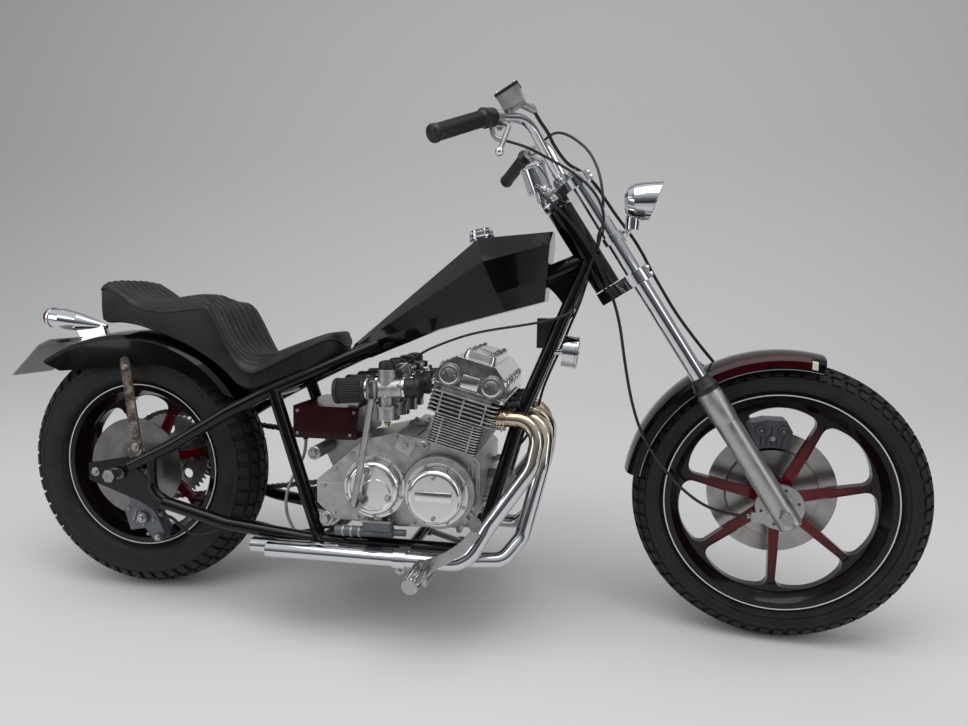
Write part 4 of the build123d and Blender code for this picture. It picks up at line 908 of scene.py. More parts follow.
def lay_cord(name, points, diameter, material, body=None, bends=None):
    """Makes a cord in place of its solid. It rides on a body, or with bends given stays a plain mesh fixed in
    the scene.
    """
    piece = tube(name + "_sheath", points, diameter / 2)
    if bends:
        line_of(piece)
        mesh = bpy.data.meshes.new_from_object(piece)
        bpy.data.objects.remove(piece)
        mesh.shade_smooth()
        piece = bpy.data.objects.new(name + "_sheath", mesh)
    bpy.context.scene.collection.objects.link(piece)
    piece.data.materials.clear()
    piece.data.materials.append(material)
    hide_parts(name)
    if bends:
        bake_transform(piece)
    else:
        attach(piece, body)
    print(name, "laid through", len(points), "points")


# %% Routes, in upright millimetres
SPEEDOMETER_CABLE = [
    (235, -40, 1038), (235, -60, 1038), (252, -84, 1019), (288, -94, 989), (334, -90, 941),
    (373, -83, 884), (399, -79, 829), (422, -82, 778), (436, -82, 724), (444, -80, 672), (454, -78, 614),
    (466, -76, 556), (486, -74, 492), (514, -72, 440), (549, -70, 393), (591, -66, 350), (638, -60, 316),
    (694, -53, 298), (741, -53, 298),
]
FRONT_BRAKE_HOSE = [
    (243, -138, 1184), (252, -134, 1168), (267, -112, 1149), (274, -80, 1131), (286, -42, 1112),
    (302, 2, 1094), (332, 34, 1082), (360, 60, 1058), (383, 71, 1024), (411, 74, 984), (438, 75, 950),
    (459, 75, 922), (479, 75, 890), (499, 75, 852), (528, 75, 804), (560, 75, 752), (600, 76, 699),
    (639, 77, 651), (676, 80, 610), (706, 83, 574), (729, 84, 544), (737, 84, 508),
]
THROTTLE_CABLE_AT_BARS = [
    (196.1, -225.98, 1111.98), (220, -222, 1106), (244, -200, 1099), (264, -168, 1091),
    (288, -144, 1080), (318, -135, 1064), (348, -137, 1042), (374, -137, 1016), (391, -136, 986),
    (397, -132, 952), (382, -120, 926),
]
THROTTLE_CABLE_ON_FRAME = [
    (376, -74, 900), (360, -61, 858), (346, -55, 814), (334, -62, 764), (304, -77, 742), (262, -82, 730),
    (206, -82, 719), (150, -80, 710), (88, -78, 697), (28, -78, 676), (-34, -82, 648), (-62, -83, 624),
]
CLUTCH_CABLE_AT_BARS = [
    (214.08, 179.2, 1181.53), (230, 165.8, 1192.4), (254, 147, 1198), (282, 126, 1188), (312, 106, 1167),
    (340, 88, 1141), (362, 72, 1104), (377, 52, 1056), (383, 41, 1004),
]
CLUTCH_CABLE_ON_FRAME = [
    (384, 43, 952), (375, 46, 904), (361, 50, 859), (348, 55, 816), (334, 62, 768), (312, 70, 716),
    (291, 80, 660), (268, 86, 608), (247, 91, 555), (236, 87, 506), (222, 80, 460), (204, 71, 420),
    (176, 63.5, 394.5), (146, 60, 378),
]
REAR_BRAKE_HOSE = [
    (-716, -80, 206), (-698, -83, 206.5), (-678, -87, 197), (-658, -91, 182), (-634, -95, 170),
    (-602, -98, 168), (-560, -100, 184), (-505, -100, 208), (-446, -99, 216), (-390, -97, 201),
    (-342, -91, 192), (-300, -88, 202), (-262, -91, 213), (-238, -112, 221.5), (-220, -136, 226),
]
BREATHER_HOSE = [
    (-326, -72, 426), (-326, -72, 400), (-338, -71, 368), (-360, -70, 332), (-378, -70, 292),
    (-383, -70, 252), (-376, -70, 214), (-357, -70, 186),
]


# %% All six cords
def placed(points, space):
    return [space @ Vector(point) for point in points]


# Columns: name, points on the fork, points on the frame, diameter, length, finish,
# stiffness, and for a cord that crosses from the bars to the frame the two places it
# would bend between, which make it a plain mesh fixed in the scene.
CORDS = (
    ("speedometer_cable", SPEEDOMETER_CABLE, (), 0.007, 0.988, cable_black, "medium", None),
    ("front_brake_hose", FRONT_BRAKE_HOSE, (), 0.008, 0.944, hose_black, "stiff", None),
    ("rear_brake_hose", (), REAR_BRAKE_HOSE, 0.008, 0.540, hose_black, "stiff", None),
    ("breather_hose", (), BREATHER_HOSE, 0.008, 0.258, hose_clear, "medium", None),
    (
        "throttle_cable", THROTTLE_CABLE_AT_BARS, THROTTLE_CABLE_ON_FRAME, 0.006, 0.961, cable_black,
        "medium", ((388, -110, 932), (334, -62, 764)),
    ),
    (
        "clutch_cable", CLUTCH_CABLE_AT_BARS, CLUTCH_CABLE_ON_FRAME, 0.007, 1.020, cable_black,
        "medium", ((384, 42, 1004), (334, 62, 768)),
    ),
)
for name, on_fork, on_frame, diameter, length, material, stiffness, bends in CORDS:
    route = placed(on_fork, STEERED) + placed(on_frame, BIKE)
    lay_cord(name, route, diameter, material, "steering" if on_fork else "chassis", bends)

# %% [markdown]
# ## The seat
#
# The seat is black leather over two humps. Its top is sewn in lengthwise channels that
# swell between their seams, its sides are smooth panels, and a piping runs between the
# two. One table of heights along the bike gives the whole form, and the channels are a
# sum of half sines across it. Buttons pull small hollows into the pillion's top.

# %% Leather
def leather(name):
    material, tree, shader, place = new_finish(name)
    pores = add_node(tree, "TexVoronoi", {"Vector": place, "Scale": 520.0}).outputs["Distance"]
    folds = noise(tree, place, 34.0, 7.0, Distortion=0.6)
    wear = spread(tree, noise(tree, place, 9.0), 0, 1)
    wrinkles = bumped(tree, folds, 0.35, 0.002)
    wire(tree, shader, {
        "Base Color": mixed(tree, wear, (0.006, 0.006, 0.007, 1), (0.020, 0.019, 0.017, 1)),
        "Roughness": spread(tree, folds, 0.3, 0.5), "Specular IOR Level": 0.35,
        "Normal": bumped(tree, pores, 0.16, 0.0006, Normal=wrinkles),
    })
    return material


seat_leather = leather("seat_leather")

# %% The seat's table
# Columns: x, then heights of the middle's top, the edge's top and the underside.
SEAT = (
    (-847, 806, 796, 708), (-840, 819, 807, 703), (-800, 780, 794, 706), (-755, 762, 757, 700),
    (-680, 772, 740, 678), (-610, 781, 749, 650), (-560, 745, 764, 622), (-536, 692, 726, 606),
    (-507, 645, 665, 582), (-478, 626, 612, 553), (-440, 628, 596, 545), (-373, 654, 623, 564),
    (-297, 682, 664, 602), (-262, 692, 684, 624), (-249, 686, 678, 632), (-243, 662, 658, 640),
)
SEAT_STATIONS = 170
CHANNELS = 9
CHANNEL_DEPTH = 5.0
BUTTONS = ((-712, -34), (-712, 34), (-672, -30), (-672, 30), (-596, -36), (-596, 36))


def seat_rows():
    """The seat's table, read at even steps along its top and smoothed a little."""
    table = np.array(SEAT, float)
    steps = np.hypot(np.diff(table[:, 0]), np.diff(table[:, 1]))
    along = np.concatenate([[0], np.cumsum(steps)])
    even = np.linspace(0, along[-1], SEAT_STATIONS)
    rows = np.array([np.interp(even, along, column) for column in table.T]).T
    kernel = np.hanning(15)
    kernel /= kernel.sum()
    padded_rows = np.pad(rows, ((7, 7), (0, 0)), mode="reflect", reflect_type="odd")
    return np.array([np.convolve(column, kernel, mode="valid") for column in padded_rows.T]).T


# %% Width and height
def seat_half_width(x):
    """Half the seat's width, with a round nose."""
    if x > -330:
        return math.sqrt(max(84.2**2 - (x + 324.2) ** 2, 9))
    return float(np.interp(x, (-850, -450, -330), (112, 118, 84)))


def seat_top(x, middle, edge, half, share):
    """The height of the seat's top at a share of its half width, channels and all."""
    y = abs(share) * half
    blend = max(y - 40, 0) / 86
    height = middle + (edge - middle) * blend**1.3
    channel = abs(math.cos(share * math.pi * CHANNELS / 2)) ** 0.55
    height += CHANNEL_DEPTH * (channel - 0.75) * min(1, half / 60)
    height -= 7 * max(abs(share) - 0.86, 0) / 0.14
    for button_x, button_y in BUTTONS:
        away = math.hypot(x - button_x, share * half - button_y)
        height -= 7 * math.exp(-((away / 13) ** 2))
    return height


# %% The seat's mesh
def make_seat():
    points, rows = [], seat_rows()
    top_shares = np.linspace(1, -1, 91)
    for x, middle, edge, under in rows:
        half = seat_half_width(x)
        rim = seat_top(x, middle, edge, half, 1.0)
        belly = under * 0.6 + rim * 0.4
        wall = [(half - 10, under), (half - 1, under + 5), (half + 2, belly), (half + 1, rim - 9)]
        points += [(x, y, z) for y, z in wall]
        points += [(x, share * half, seat_top(x, middle, edge, half, share)) for share in top_shares]
        points += [(x, -y, z) for y, z in reversed(wall)]
    columns = 2 * 4 + len(top_shares)
    faces = grid_faces(SEAT_STATIONS, columns, wrap_columns=True)
    faces.append(tuple(range(columns)))
    faces.append(tuple((SEAT_STATIONS - 1) * columns + column for column in range(columns)))
    seat = mesh_of("seat_leather", points, faces)
    seam = []
    for x, middle, edge, under in rows[::3]:
        half = seat_half_width(x)
        seam.append((x, half + 1, seat_top(x, middle, edge, half, 1.0) - 2))
    x, middle, edge, under = rows[0]
    back = [
        (x, share * seat_half_width(x), seat_top(x, middle, edge, seat_half_width(x), share) - 1)
        for share in np.linspace(-0.95, 0.95, 24)
    ]
    piping = pipe([(x, -y, z) for x, y, z in reversed(seam)] + back + seam, 3.0, closed=True)
    heads = []
    for x, y in BUTTONS:
        row = rows[np.argmin(abs(rows[:, 0] - x))]
        height = seat_top(x, row[1], row[2], seat_half_width(x), y / seat_half_width(x))
        heads += dome((x, y, height + 0.5), UP, 15, 0.3)
    return joined("seat_leather", [seat, piping, *heads])


seat = keep(make_seat(), "seat_cover", seat_leather, "chassis", BIKE, 50, ["seat"])

# %% [markdown]
# ## More finishes
#
# A few small pieces need their own look: glass and a red lens, brass, the pleated cloth
# of the filters, bolts, and the gauge's dial.

# %% Small finishes
brass = finish("brass", (0.62, 0.43, 0.16), 1.0, (0.2, 0.35), 60, 900, 0.05, dirt_and_shade=0.3)
filter_cloth = finish("filter_cloth", (0.05, 0.05, 0.052), rough=(0.6, 0.8), grain=2400, bump=0.3, edge=0)
soft_rubber = finish(
    "soft_rubber", (0.012, 0.012, 0.012), rough=(0.35, 0.5), grain=1600, bump=0.08, edge=0.0005
)
bolt_steel = finish("bolt_steel", (0.6, 0.59, 0.57), 1.0, (0.18, 0.36), 90, 1500, 0.08, dark=0.7, edge=0.0004)
mirror_glass = finish("reflector", (0.9, 0.9, 0.9), 1.0, (0.04, 0.1), 90, 60, 0.02, edge=0)
dial_black = finish("dial_black", (0.01, 0.01, 0.012), rough=(0.3, 0.4), coat=0.8, edge=0)
dial_white = finish("dial_white", (0.8, 0.8, 0.76), rough=(0.5, 0.6), edge=0)
engine_black = finish("engine_black", (0.012, 0.012, 0.012), rough=(0.28, 0.42), grain=700, bump=0.06)


def clear_glass(name, colour, rough, through):
    material, tree, shader, _ = new_finish(name)
    inputs = {"Base Color": (*colour, 1), "Roughness": rough, "Transmission Weight": through, "IOR": 1.45}
    wire(tree, shader, inputs)
    return material


lens_glass = clear_glass("lens_glass", (0.95, 0.96, 0.97), 0.03, 1.0)
red_lens = clear_glass("red_lens", (0.12, 0.004, 0.004), 0.12, 0.35)

# %% [markdown]
# ## Blocks and flutes
#
# Besides turned shapes we need bevelled blocks, and tubes with flutes along them for
# filter pleats, pegs and grips.

# %% Slots, middles and the engine's space
# The record's slot for each finish that has another name.
SLOT_OF = {
    "bolt_steel": "steel", "brass": "steel", "dark_steel": "steel", "soft_rubber": "black_rubber",
    "filter_cloth": "black_rubber", "caliper_grey": "satin_aluminium", "engine_black": "box_black",
    "dial_black": "box_black", "dial_white": "plate_grey", "reflector": "chrome", "lens_glass": "chrome",
    "red_lens": "chrome",
}
# Middles in the side view, as (x, z).
CRANK, CLUTCH = (34, 337), (-116, 343)
FRONT_HUB, REAR_HUB = FRONT_AXLE.xz, REAR_AXLE.xz
ENGINE = BIKE @ Matrix.Translation(Vector((CRANK[0], 0, CRANK[1])))
ENGINE = ENGINE @ Matrix.Rotation(math.radians(15), 4, "Y")
SPACES["engine"] = ENGINE


# %% Block and flute helpers
def block(centre, size, bevel=1.0, tilt=0.0):
    """A bevelled block, turned about Y by a tilt in degrees, nose down."""
    shape = bmesh.new()
    bmesh.ops.create_cube(shape, size=1)
    bmesh.ops.scale(shape, vec=size, verts=shape.verts)
    bmesh.ops.bevel(shape, geom=shape.edges[:], offset=bevel, segments=2, affect="EDGES", profile=0.5)
    mesh = bpy.data.meshes.new("block")
    shape.to_mesh(mesh)
    shape.free()
    mesh.transform(Matrix.Translation(Vector(centre)) @ Matrix.Rotation(math.radians(tilt), 4, "Y"))
    return mesh


def fluted(place, axis, length, low, high, ribs):
    """A closed tube whose wall goes in and out around it."""
    points = []
    for y in (0, 1.5, length - 1.5, length):
        shrink = 1.2 if y in (0, length) else 0
        for step in range(ribs * 4):
            radius = (low, high, high, low)[step % 4] - shrink
            angle = 2 * math.pi * step / (ribs * 4)
            points.append((radius * math.cos(angle), y, radius * math.sin(angle)))
    count = ribs * 4
    faces = grid_faces(4, count, wrap_columns=True)
    faces += [tuple(range(count)), tuple(range(3 * count, 4 * count))]
    mesh = mesh_of("fluted", points, faces)
    mesh.transform(facing(place, axis))
    return mesh


def direction(start, end):
    return (Vector(end) - Vector(start)).normalized()


def ring_places(centre, radius, count, start=0.0, y=None):
    """Places round a circle in the side view."""
    x, z = centre
    angles = [math.radians(start) + 2 * math.pi * step / count for step in range(count)]
    return [(x + radius * math.cos(a), y, z + radius * math.sin(a)) for a in angles]


def keep_all(meshes, name, material, body="chassis", space=None, slot=None, sharp=35, replaced=()):
    """Joins the parts of one finish on one body into a piece, in the body's own space."""
    finish_name = material.name.split(".")[0]
    slot = slot or SLOT_OF.get(finish_name, finish_name)
    return keep(joined(name, meshes), name, material, body, SPACES[space or body], sharp, replaced)


# %% [markdown]
# ## Chain
#
# The chain is 110 links on the pitch line of its two sprockets, which is two arcs and
# two straight runs. Each link is a pair of waisted plates, inner and outer by turns,
# with a roller and a pin at every joint.

# %% The chain's loop
# Columns: the middle's x and z, and the number of teeth.
SPROCKETS = ((-195, 345, 18), (*REAR_HUB, 48))
LINKS = 110
PITCH = 15.875
CHAIN_Y = 84


def chain_joint(part):
    """The place of a joint at a share of the way round the loop."""
    (sx, sz, small_teeth), (lx, lz, large_teeth) = SPROCKETS
    small, large = (PITCH / 2 / math.sin(math.pi / teeth) for teeth in (small_teeth, large_teeth))
    distance = math.hypot(sx - lx, sz - lz)
    rise, fall = math.atan2(sz - lz, sx - lx), math.asin((large - small) / distance)
    straight = distance * math.cos(fall)
    wrap_small, wrap_large = small * (math.pi - 2 * fall), large * (math.pi + 2 * fall)
    travel = part * (2 * straight + wrap_small + wrap_large)
    top, bottom = rise + math.pi / 2 - fall, rise - math.pi / 2 + fall
    if travel < straight:
        x, z, angle, radius, along = lx, lz, top, large, travel
    elif travel < straight + wrap_small:
        x, z, angle, radius, along = sx, sz, top - (travel - straight) / small, small, 0
    elif travel < 2 * straight + wrap_small:
        x, z, angle, radius, along = sx, sz, bottom, small, travel - straight - wrap_small
    else:
        x, z, radius, along = lx, lz, large, 0
        angle = bottom - (travel - 2 * straight - wrap_small) / large
    return (
        x + radius * math.cos(angle) + along * math.sin(angle),
        z + radius * math.sin(angle) - along * math.cos(angle),
    )


# %% Chain links
def link_plate(start, end, y, thick):
    """A plate with two round ends and a waist, between two joints."""
    run = (end[0] - start[0], end[1] - start[1])
    length = math.hypot(*run)
    ux, uz = run[0] / length, run[1] / length
    outline = []
    for centre, first in ((length, -100), (0, 80)):
        for step in range(8):
            angle = math.radians(first + 200 * step / 7)
            outline.append((centre + 6.3 * math.cos(angle), 6.3 * math.sin(angle)))
        outline.append((length / 2, 4.4 if centre else -4.4))
    points = []
    for level in (y - thick / 2, y + thick / 2):
        points += [(start[0] + a * ux - b * uz, level, start[1] + a * uz + b * ux) for a, b in outline]
    count = len(outline)
    faces = grid_faces(2, count, wrap_columns=True)
    faces += [tuple(range(count)), tuple(range(count, 2 * count))]
    return mesh_of("plate", points, faces)


chain_joints = [chain_joint(link / LINKS) for link in range(LINKS)]
chain_parts = []
for link, start in enumerate(chain_joints):
    end = chain_joints[(link + 1) % LINKS]
    offset = 8.0 if link % 2 == 0 else 5.8
    for side in (-1, 1):
        chain_parts.append(link_plate(start, end, CHAIN_Y + side * offset, 1.7))
    for profile in (pin(5.1, -5, 5), pin(2.4, -9.6, 9.6)):
        chain_parts.append(turned(profile, (start[0], CHAIN_Y, start[1]), LEFT, 12))
keep_all(chain_parts, "chain_links", dark_steel, replaced=["chain"])


# %% [markdown]
# ### Teeth between the rollers
#
# The rear sprocket's teeth stand between the chain's rollers. They are drawn one by one
# from the angle of a roller, so that teeth and links fit into each other.

# %% Sprocket teeth
def sprocket_teeth(centre, teeth, first, thick):
    """Teeth that stand between the rollers, with one roller's angle given."""
    radius = PITCH / 2 / math.sin(math.pi / teeth)
    made = []
    for tooth in range(teeth):
        middle = first + (tooth + 0.5) * 2 * math.pi / teeth
        points = []
        for y in (-thick / 2, thick / 2):
            for reach, half in ((radius - 9, 4.6), (radius - 3.5, 2.7), (radius + 1.5, 1.4)):
                for sign in (-1, 1):
                    points += ring_places(centre, reach, 1, math.degrees(middle + sign * half / reach), y)
        faces = [(0, 1, 3, 2), (2, 3, 5, 4), (6, 7, 9, 8), (8, 9, 11, 10), (4, 5, 11, 10), (0, 1, 7, 6)]
        faces += [(0, 2, 8, 6), (2, 4, 10, 8), (1, 3, 9, 7), (3, 5, 11, 9)]
        mesh = mesh_of("tooth", points, faces)
        mesh.transform(Matrix.Translation((0, CHAIN_Y, 0)))
        made.append(mesh)
    return made


roller_x, roller_z = chain_joint(0)
large_first = math.atan2(roller_z - REAR_HUB[1], roller_x - REAR_HUB[0])
large_teeth = sprocket_teeth(REAR_HUB, SPROCKETS[1][2], large_first, 5)
keep_all(large_teeth, "rear_sprocket_teeth", steel, "rear_wheel", "chassis")

# %% [markdown]
# ## Filters and carburettors
#
# Four pod filters with pleats between rubber ends sit behind the carburettors, and four
# rubber boots join those to the head. The pods and boots replace the plain solids. The
# carburettors keep theirs and get bowls with screws, drain plugs, linkage and clips.

# %% Filters
# The cylinders' middles across the engine.
BORES = (-122, -44, 44, 122)


def intake(x, y):
    return (x, y, 556 + (x + 228) * 17 / 218)


pods, pleats, bands = [], [], []
for y in BORES:
    back = direction(intake(0, y), intake(-100, y))
    root = intake(-140, y)
    collar = [(0, 0), (25, 0), (26.5, 1.5), (26.5, 9), (30.5, 12), (31, 13), (31, 17), (28, 18), (0, 18)]
    cap = [(0, 76), (28, 76), (31, 77), (31, 84), (29.6, 87), (26, 88), (12, 88), (9, 87), (0, 87)]
    pods += [turned(collar, root, back, 48), turned(cap, root, back, 48)]
    pleats.append(fluted(Vector(root) + back * 17, back, 60, 26.6, 30.2, 34))
    bands.append(turned([(26.4, 2.2), (27.6, 2.4), (27.6, 8.4), (26.4, 8.6)], root, back, 48))
    boot = [(0, 0), (23.5, 0), (25, 1.5), (25, 9), (23.4, 11), (23.4, 32), (25, 34), (25.6, 44), (0, 44)]
    boot_root = Vector(intake(-62, y))
    pods.append(turned(boot, boot_root, -back, 48))
    bands.append(turned([(24.8, 2), (26, 2.2), (26, 7.8), (24.8, 8)], boot_root, -back, 48))
keep_all(pods, "filter_rubbers", soft_rubber, replaced=["air_filters"])
keep_all(pleats, "filter_pleats", filter_cloth, sharp=20)
for y in BORES:
    for x, radius in ((-146, 27), (-57, 26)):
        bands += hex_bolt((x, y - 4, intake(x, y)[2] + radius + 2), LEFT, 6)
        bands.append(block((x, y, intake(x, y)[2] + radius + 2), (5, 9, 5), 0.8))
keep_all(bands, "filter_bands", chrome)

# %% Carburettor fittings
silver, dark, gold = [], [], []
for y in BORES:
    foot = (-100, y, 494)
    silver.append(turned([(0, 27), (26, 27), (26.6, 28), (26.6, 32), (0, 32)], foot, UP, 40))
    silver.append(turned([(0, -8), (6, -8), (7, -3), (16, 0), (16, 2), (0, 2)], foot, UP, 24))
    gold += hex_bolt((-100, y, 486), DOWN, 11)
    for x, offset in ((-118, -16), (-118, 16), (-82, -16), (-82, 16)):
        silver += socket_bolt((x, y + offset, 526), UP, 5)
    silver.append(turned(boss(23.5, 3, 22.4, 4), (-100, y, 570), UP, 36))
    silver.append(turned(pin(23.2, 0, 4), (-100, y, 606), UP, 36))
    dark.append(turned([(0, 0), (20.5, 0), (20.5, 14), (18, 19), (8, 22), (0, 22)], (-100, y, 611), UP, 36))
    dark.append(block((-76, y, 604), (20, 10, 16), 2))
    silver += dome((-100, y - 17.5, 548), RIGHT, 12, 0.4)
    gold += hex_bolt((-84, y - 17, 560), RIGHT, 7)
    gold.append(turned(pin(3, 0, 16), (-120, y + 12, 545), (-1, 0, 0.4), 12))
    silver.append(block((-68, y, 577), (5, 54, 8), 1))
    for side in (-1, 1):
        silver += hex_bolt((-65, y + side * 20, 577), (1, 0, 0.08), 7)
pulley = [(0, 0), (19, 0), (20, 1), (17, 2), (17, 4), (20, 5), (19, 6), (0, 6)]
silver.append(turned(pulley, (-76, -86, 604), LEFT))
for y in (-83, 0, 83):
    silver.append(turned(pin(4, -7, 7), (-118, y, 531), LEFT, 16))
    dark.append(turned(pin(3.6, -36, 36), (-126, y, 531), LEFT, 16))
keep_all(silver, "carburettor_fittings", satin_aluminium)
keep_all(dark, "carburettor_caps", soft_rubber)
keep_all(gold, "carburettor_brass", brass)

# %% [markdown]
# ## Engine details
#
# The castings get what a close look finds: bolts round every cover, posts between the
# fins, ribs and pads on the crankcase, studs at the ports and caps on the spark plugs.
# The right-hand cover has a plain raised band across it.

# %% Cover bolts and faces
bolts, castings, polish = [], [], []
for centre, y, count, start, side in (
    (CLUTCH, -168, 10, 18, -1), (CRANK, -181, 8, 22.5, -1), (CRANK, 185, 8, 22.5, 1)
):
    for place in ring_places(centre, 68, count, start, y):
        bolts += socket_bolt(place, (0, side, 0), 7.5)
for angle in (105, 225, 335):
    place = ring_places(CLUTCH, 44, 1, angle, -190)[0]
    polish.append(turned([(0, -1), (11, -1), (11, 1.2), (9.5, 2.4), (0, 2.4)], place, RIGHT, 30))
    bolts += hex_bolt((place[0], -192, place[2]), RIGHT, 10)
rim = [(49, -1), (49, 1.4), (50.5, 2), (52, 1.4), (52, -1)]
polish.append(turned(rim, (CLUTCH[0], -190, CLUTCH[1]), RIGHT, 64))
polish.append(turned([(0, 2.6), (33, 2.6), (35, 1.2), (35, -1)], (-106, -190, 333), RIGHT, 64))
for angle in (90, 270):
    place = ring_places(CRANK, 46, 1, angle, -210)[0]
    bolts += socket_bolt(place, RIGHT, 9)
polish.append(block((34, -212.6, 341), (84, 6, 22), 1.6))
rim = [(57, -3.6), (57, -1.6), (59, -2.6), (60, -5)]
polish.append(turned(rim, (CRANK[0], -209, CRANK[1]), RIGHT, 64))
for place in (
    (-225, 265), (-168, 258), (-250, 330), (-222, 372), (-178, 412), (-140, 446), (-73, 458), (3, 444),
    (88, 262), (-30, 252), (112, 300), (113, 402),
):
    bolts += hex_bolt((place[0], -140, place[1]), RIGHT, 8)
    if place[0] > -100:
        bolts += hex_bolt((place[0], 140, place[1]), LEFT, 8)
for place in ((-125, 283), (-125, 418), (-190, 420), (-250, 385), (-250, 298)):
    bolts += socket_bolt((place[0], 138, place[1]), LEFT, 9)
for x, z, radius, left in ((-274, 408, 16, 72), (-244, 250, 18, 72), (96, 272, 18, 112)):
    for y, side in ((-140, -1), (left, 1)):
        bolts.append(turned(boss(radius, 2.4, radius - 1, 3.2), (x, y, z), (0, side, 0)))
        bolts += hex_bolt((x, y + side * 3, z), (0, side, 0), 17)

# %% [markdown]
# ### Ribs and fins
#
# A crankcase is cast with ribs that stiffen its walls and fins that cool its sump. They
# could be modelled in the casting, but small bevelled blocks that stand on it look the
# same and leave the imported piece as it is.

# %% Crankcase ribs, pads and sump fins
castings.append(block((-72, 0, 337), (392, 283, 5), 1))
for x in (101, 110, 119):
    castings.append(block((x, -141, 372), (3.4, 9, 62), 1))
    castings.append(block((x, 141, 372), (3.4, 9, 62), 1))
castings.append(block((-50, -141, 438), (42, 8, 34), 2, 30))
castings.append(turned(boss(14, 6, 12, 8), (-8, -138, 437), RIGHT))
bolts += hex_bolt((-50, -145, 438), RIGHT, 10) + hex_bolt((-8, -146, 437), RIGHT, 12)
for step in range(13):
    castings.append(block((-62, -78 + 13 * step, 243), (200, 3, 12), 0.8))
castings.append(turned(boss(30, 3, 27, 6), (186, 0, 318), AHEAD))
bolts += hex_bolt((191, 0, 318), AHEAD, 17)
for step in range(12):
    angle = 2 * math.pi * step / 12
    rib = block((0, 0, 38), (66, 3, 8), 0.8, 4)
    rib.transform(Matrix.Translation((144, 0, 318)) @ Matrix.Rotation(angle, 4, "X"))
    castings.append(rib)
castings.append(block((-56, 16, 466), (44, 60, 8), 2))
for x in (-72, -40):
    for y in (-8, 40):
        bolts += hex_bolt((x, y, 469), UP, 7)
keep_all(castings, "crankcase_ribs", cast_aluminium)
keep_all(polish, "cover_faces", polished_aluminium)
keep_all(bolts, "engine_bolts", bolt_steel)

# %% [markdown]
# ### Along the cylinders
#
# The cylinders lean forward, so their studs, posts and caps are drawn in a space that
# leans with them. Each height is then a plain distance along the bores.

# %% Head and cylinder details, drawn along the cylinders
posts, nuts, caps, shine = [], [], [], []
for y_side in (-1, 1):
    for x in (-52, 0, 52):
        posts.append(block((x, y_side * 164.5, 202), (4, 6, 48), 0.8))
    for x in (-36, 36):
        posts.append(block((x, y_side * 162.5, 139), (4, 6, 64), 0.8))
for y in (-83, 0, 83):
    for x in (-76, 76):
        posts.append(block((x, y, 202), (6, 4, 48), 0.8))
for x in (-73, 73):
    for y in (-128, -83, -22, 22, 83, 128):
        shine.append(turned(boss(9.5, 36, 7.5, 40), (x, y, 244), UP, 24))
        nuts += hex_bolt((x, y, 284), UP, 10)
for x in (-26, 26):
    for y in (-98, -33, 33, 98):
        nuts += hex_bolt((x, y, 328), UP, 9)
shine.append(block((0, 0, 330), (38, 120, 5), 2))
for x in (-50, 50):
    for side in (-1, 1):
        rim = [(0, 0), (21, 0), (22, 1), (22, 2), (19, 3), (15, 2.4), (0, 2.4)]
        shine.append(turned(rim, (x, side * 159, 268), (0, side, 0)))
        for dx in (-13, 13):
            nuts += socket_bolt((x + dx, side * 161.5, 268), (0, side, 0), 7)
for side in (-1, 1):
    shine.append(block((0, side * 150.5, 262), (40, 4, 30), 1.5))
    for x in (-82, 82):
        nuts += hex_bolt((x, side * 154, 244), UP, 7)
for y in BORES:
    place, axis = Vector((84, y + 20, 226)), Vector((0.92, 0, 0.4))
    nuts.append(turned(pin(7, -14, 4), place, axis, 6))
    cap = [(0, 0), (8.5, 0), (9.5, 2), (9.5, 10), (8, 12), (8, 30), (9, 33), (7, 38), (0, 39)]
    caps.append(turned(cap, place, axis, 24))
keep_all(posts, "fin_posts", cast_aluminium, space="engine")
keep_all(shine, "cam_cover_bosses", polished_aluminium, space="engine")
keep_all(nuts, "head_bolts", bolt_steel, space="engine")
keep_all(caps, "plug_caps", soft_rubber, space="engine")

# %% [markdown]
# ### How the pipes are held
#
# Two studs with nuts hold each pipe's flange to its port. Lower down each pipe has a
# clamp, drawn as two small blocks pulled together by a bolt.

# %% Exhaust clamps and studs
clamp_parts = []
for side in (-1, 1):
    for y, z in ((120, 508), (44, 503)):
        for dz in (-21, 21):
            place = (172, side * y + 14 * (1 if dz > 0 else -1), z + dz)
            clamp_parts.append(turned(pin(3, -24, 10), place, AHEAD, 12))
            clamp_parts += hex_bolt(place, AHEAD, 10)
    for y, z in ((198, 187), (158, 180)):
        clamp_parts.append(block((-44, side * (y + 4), z - 24), (22, 7, 12), 1.5))
        clamp_parts.append(block((-44, side * (y - 6), z - 24), (22, 7, 12), 1.5))
        clamp_parts += hex_bolt((-44, side * (y + 7.5), z - 25), (0, side, 0), 8)
keep_all(clamp_parts, "exhaust_clamps", bolt_steel)

# %% [markdown]
# ## Brakes, hubs and fork
#
# The calipers get their piston rings, ribs and bolts, the discs their carrier bolts and
# the hub's plate flat black discs that paint the shade of holes. Rubber boots close the
# sliders' tops.

# %% Calipers
grey, ring_bolts, hole_shade_discs = [], [], []
recess = [(0, 0.6), (6, 0.6), (6.5, 2.2), (9.5, 3.4), (12.5, 3.4), (13.5, 0.4), (0, 0.2)]
for y, side in ((44, -1), (100, 1)):
    for x, z in ((768, 478), (817, 478)):
        grey.append(turned(recess, (x, y, z), (0, side, 0), 40))
        ring_bolts += socket_bolt((x, y + side * 0.8, z), (0, side, 0), 7)
    grey.append(turned([(r * 0.8, h) for r, h in recess], (735, y, 480), (0, side, 0), 36))
    ring_bolts += socket_bolt((735, y + side * 0.8, 480), (0, side, 0), 6)
    for x, low in ((770, 438), (782, 441), (804, 441), (816, 438)):
        grey.append(block((x, y + side * 1, (low + 462) / 2), (4, 6, 462 - low), 1.4))
    grey.append(block((793, y + side * 1, 465), (6, 5, 44), 1.6))
    ring_bolts += hex_bolt((793, y + side * 3.4, 460), (0, side, 0), 7)
keep_all(grey, "front_caliper_ribs", caliper_grey, "steering")
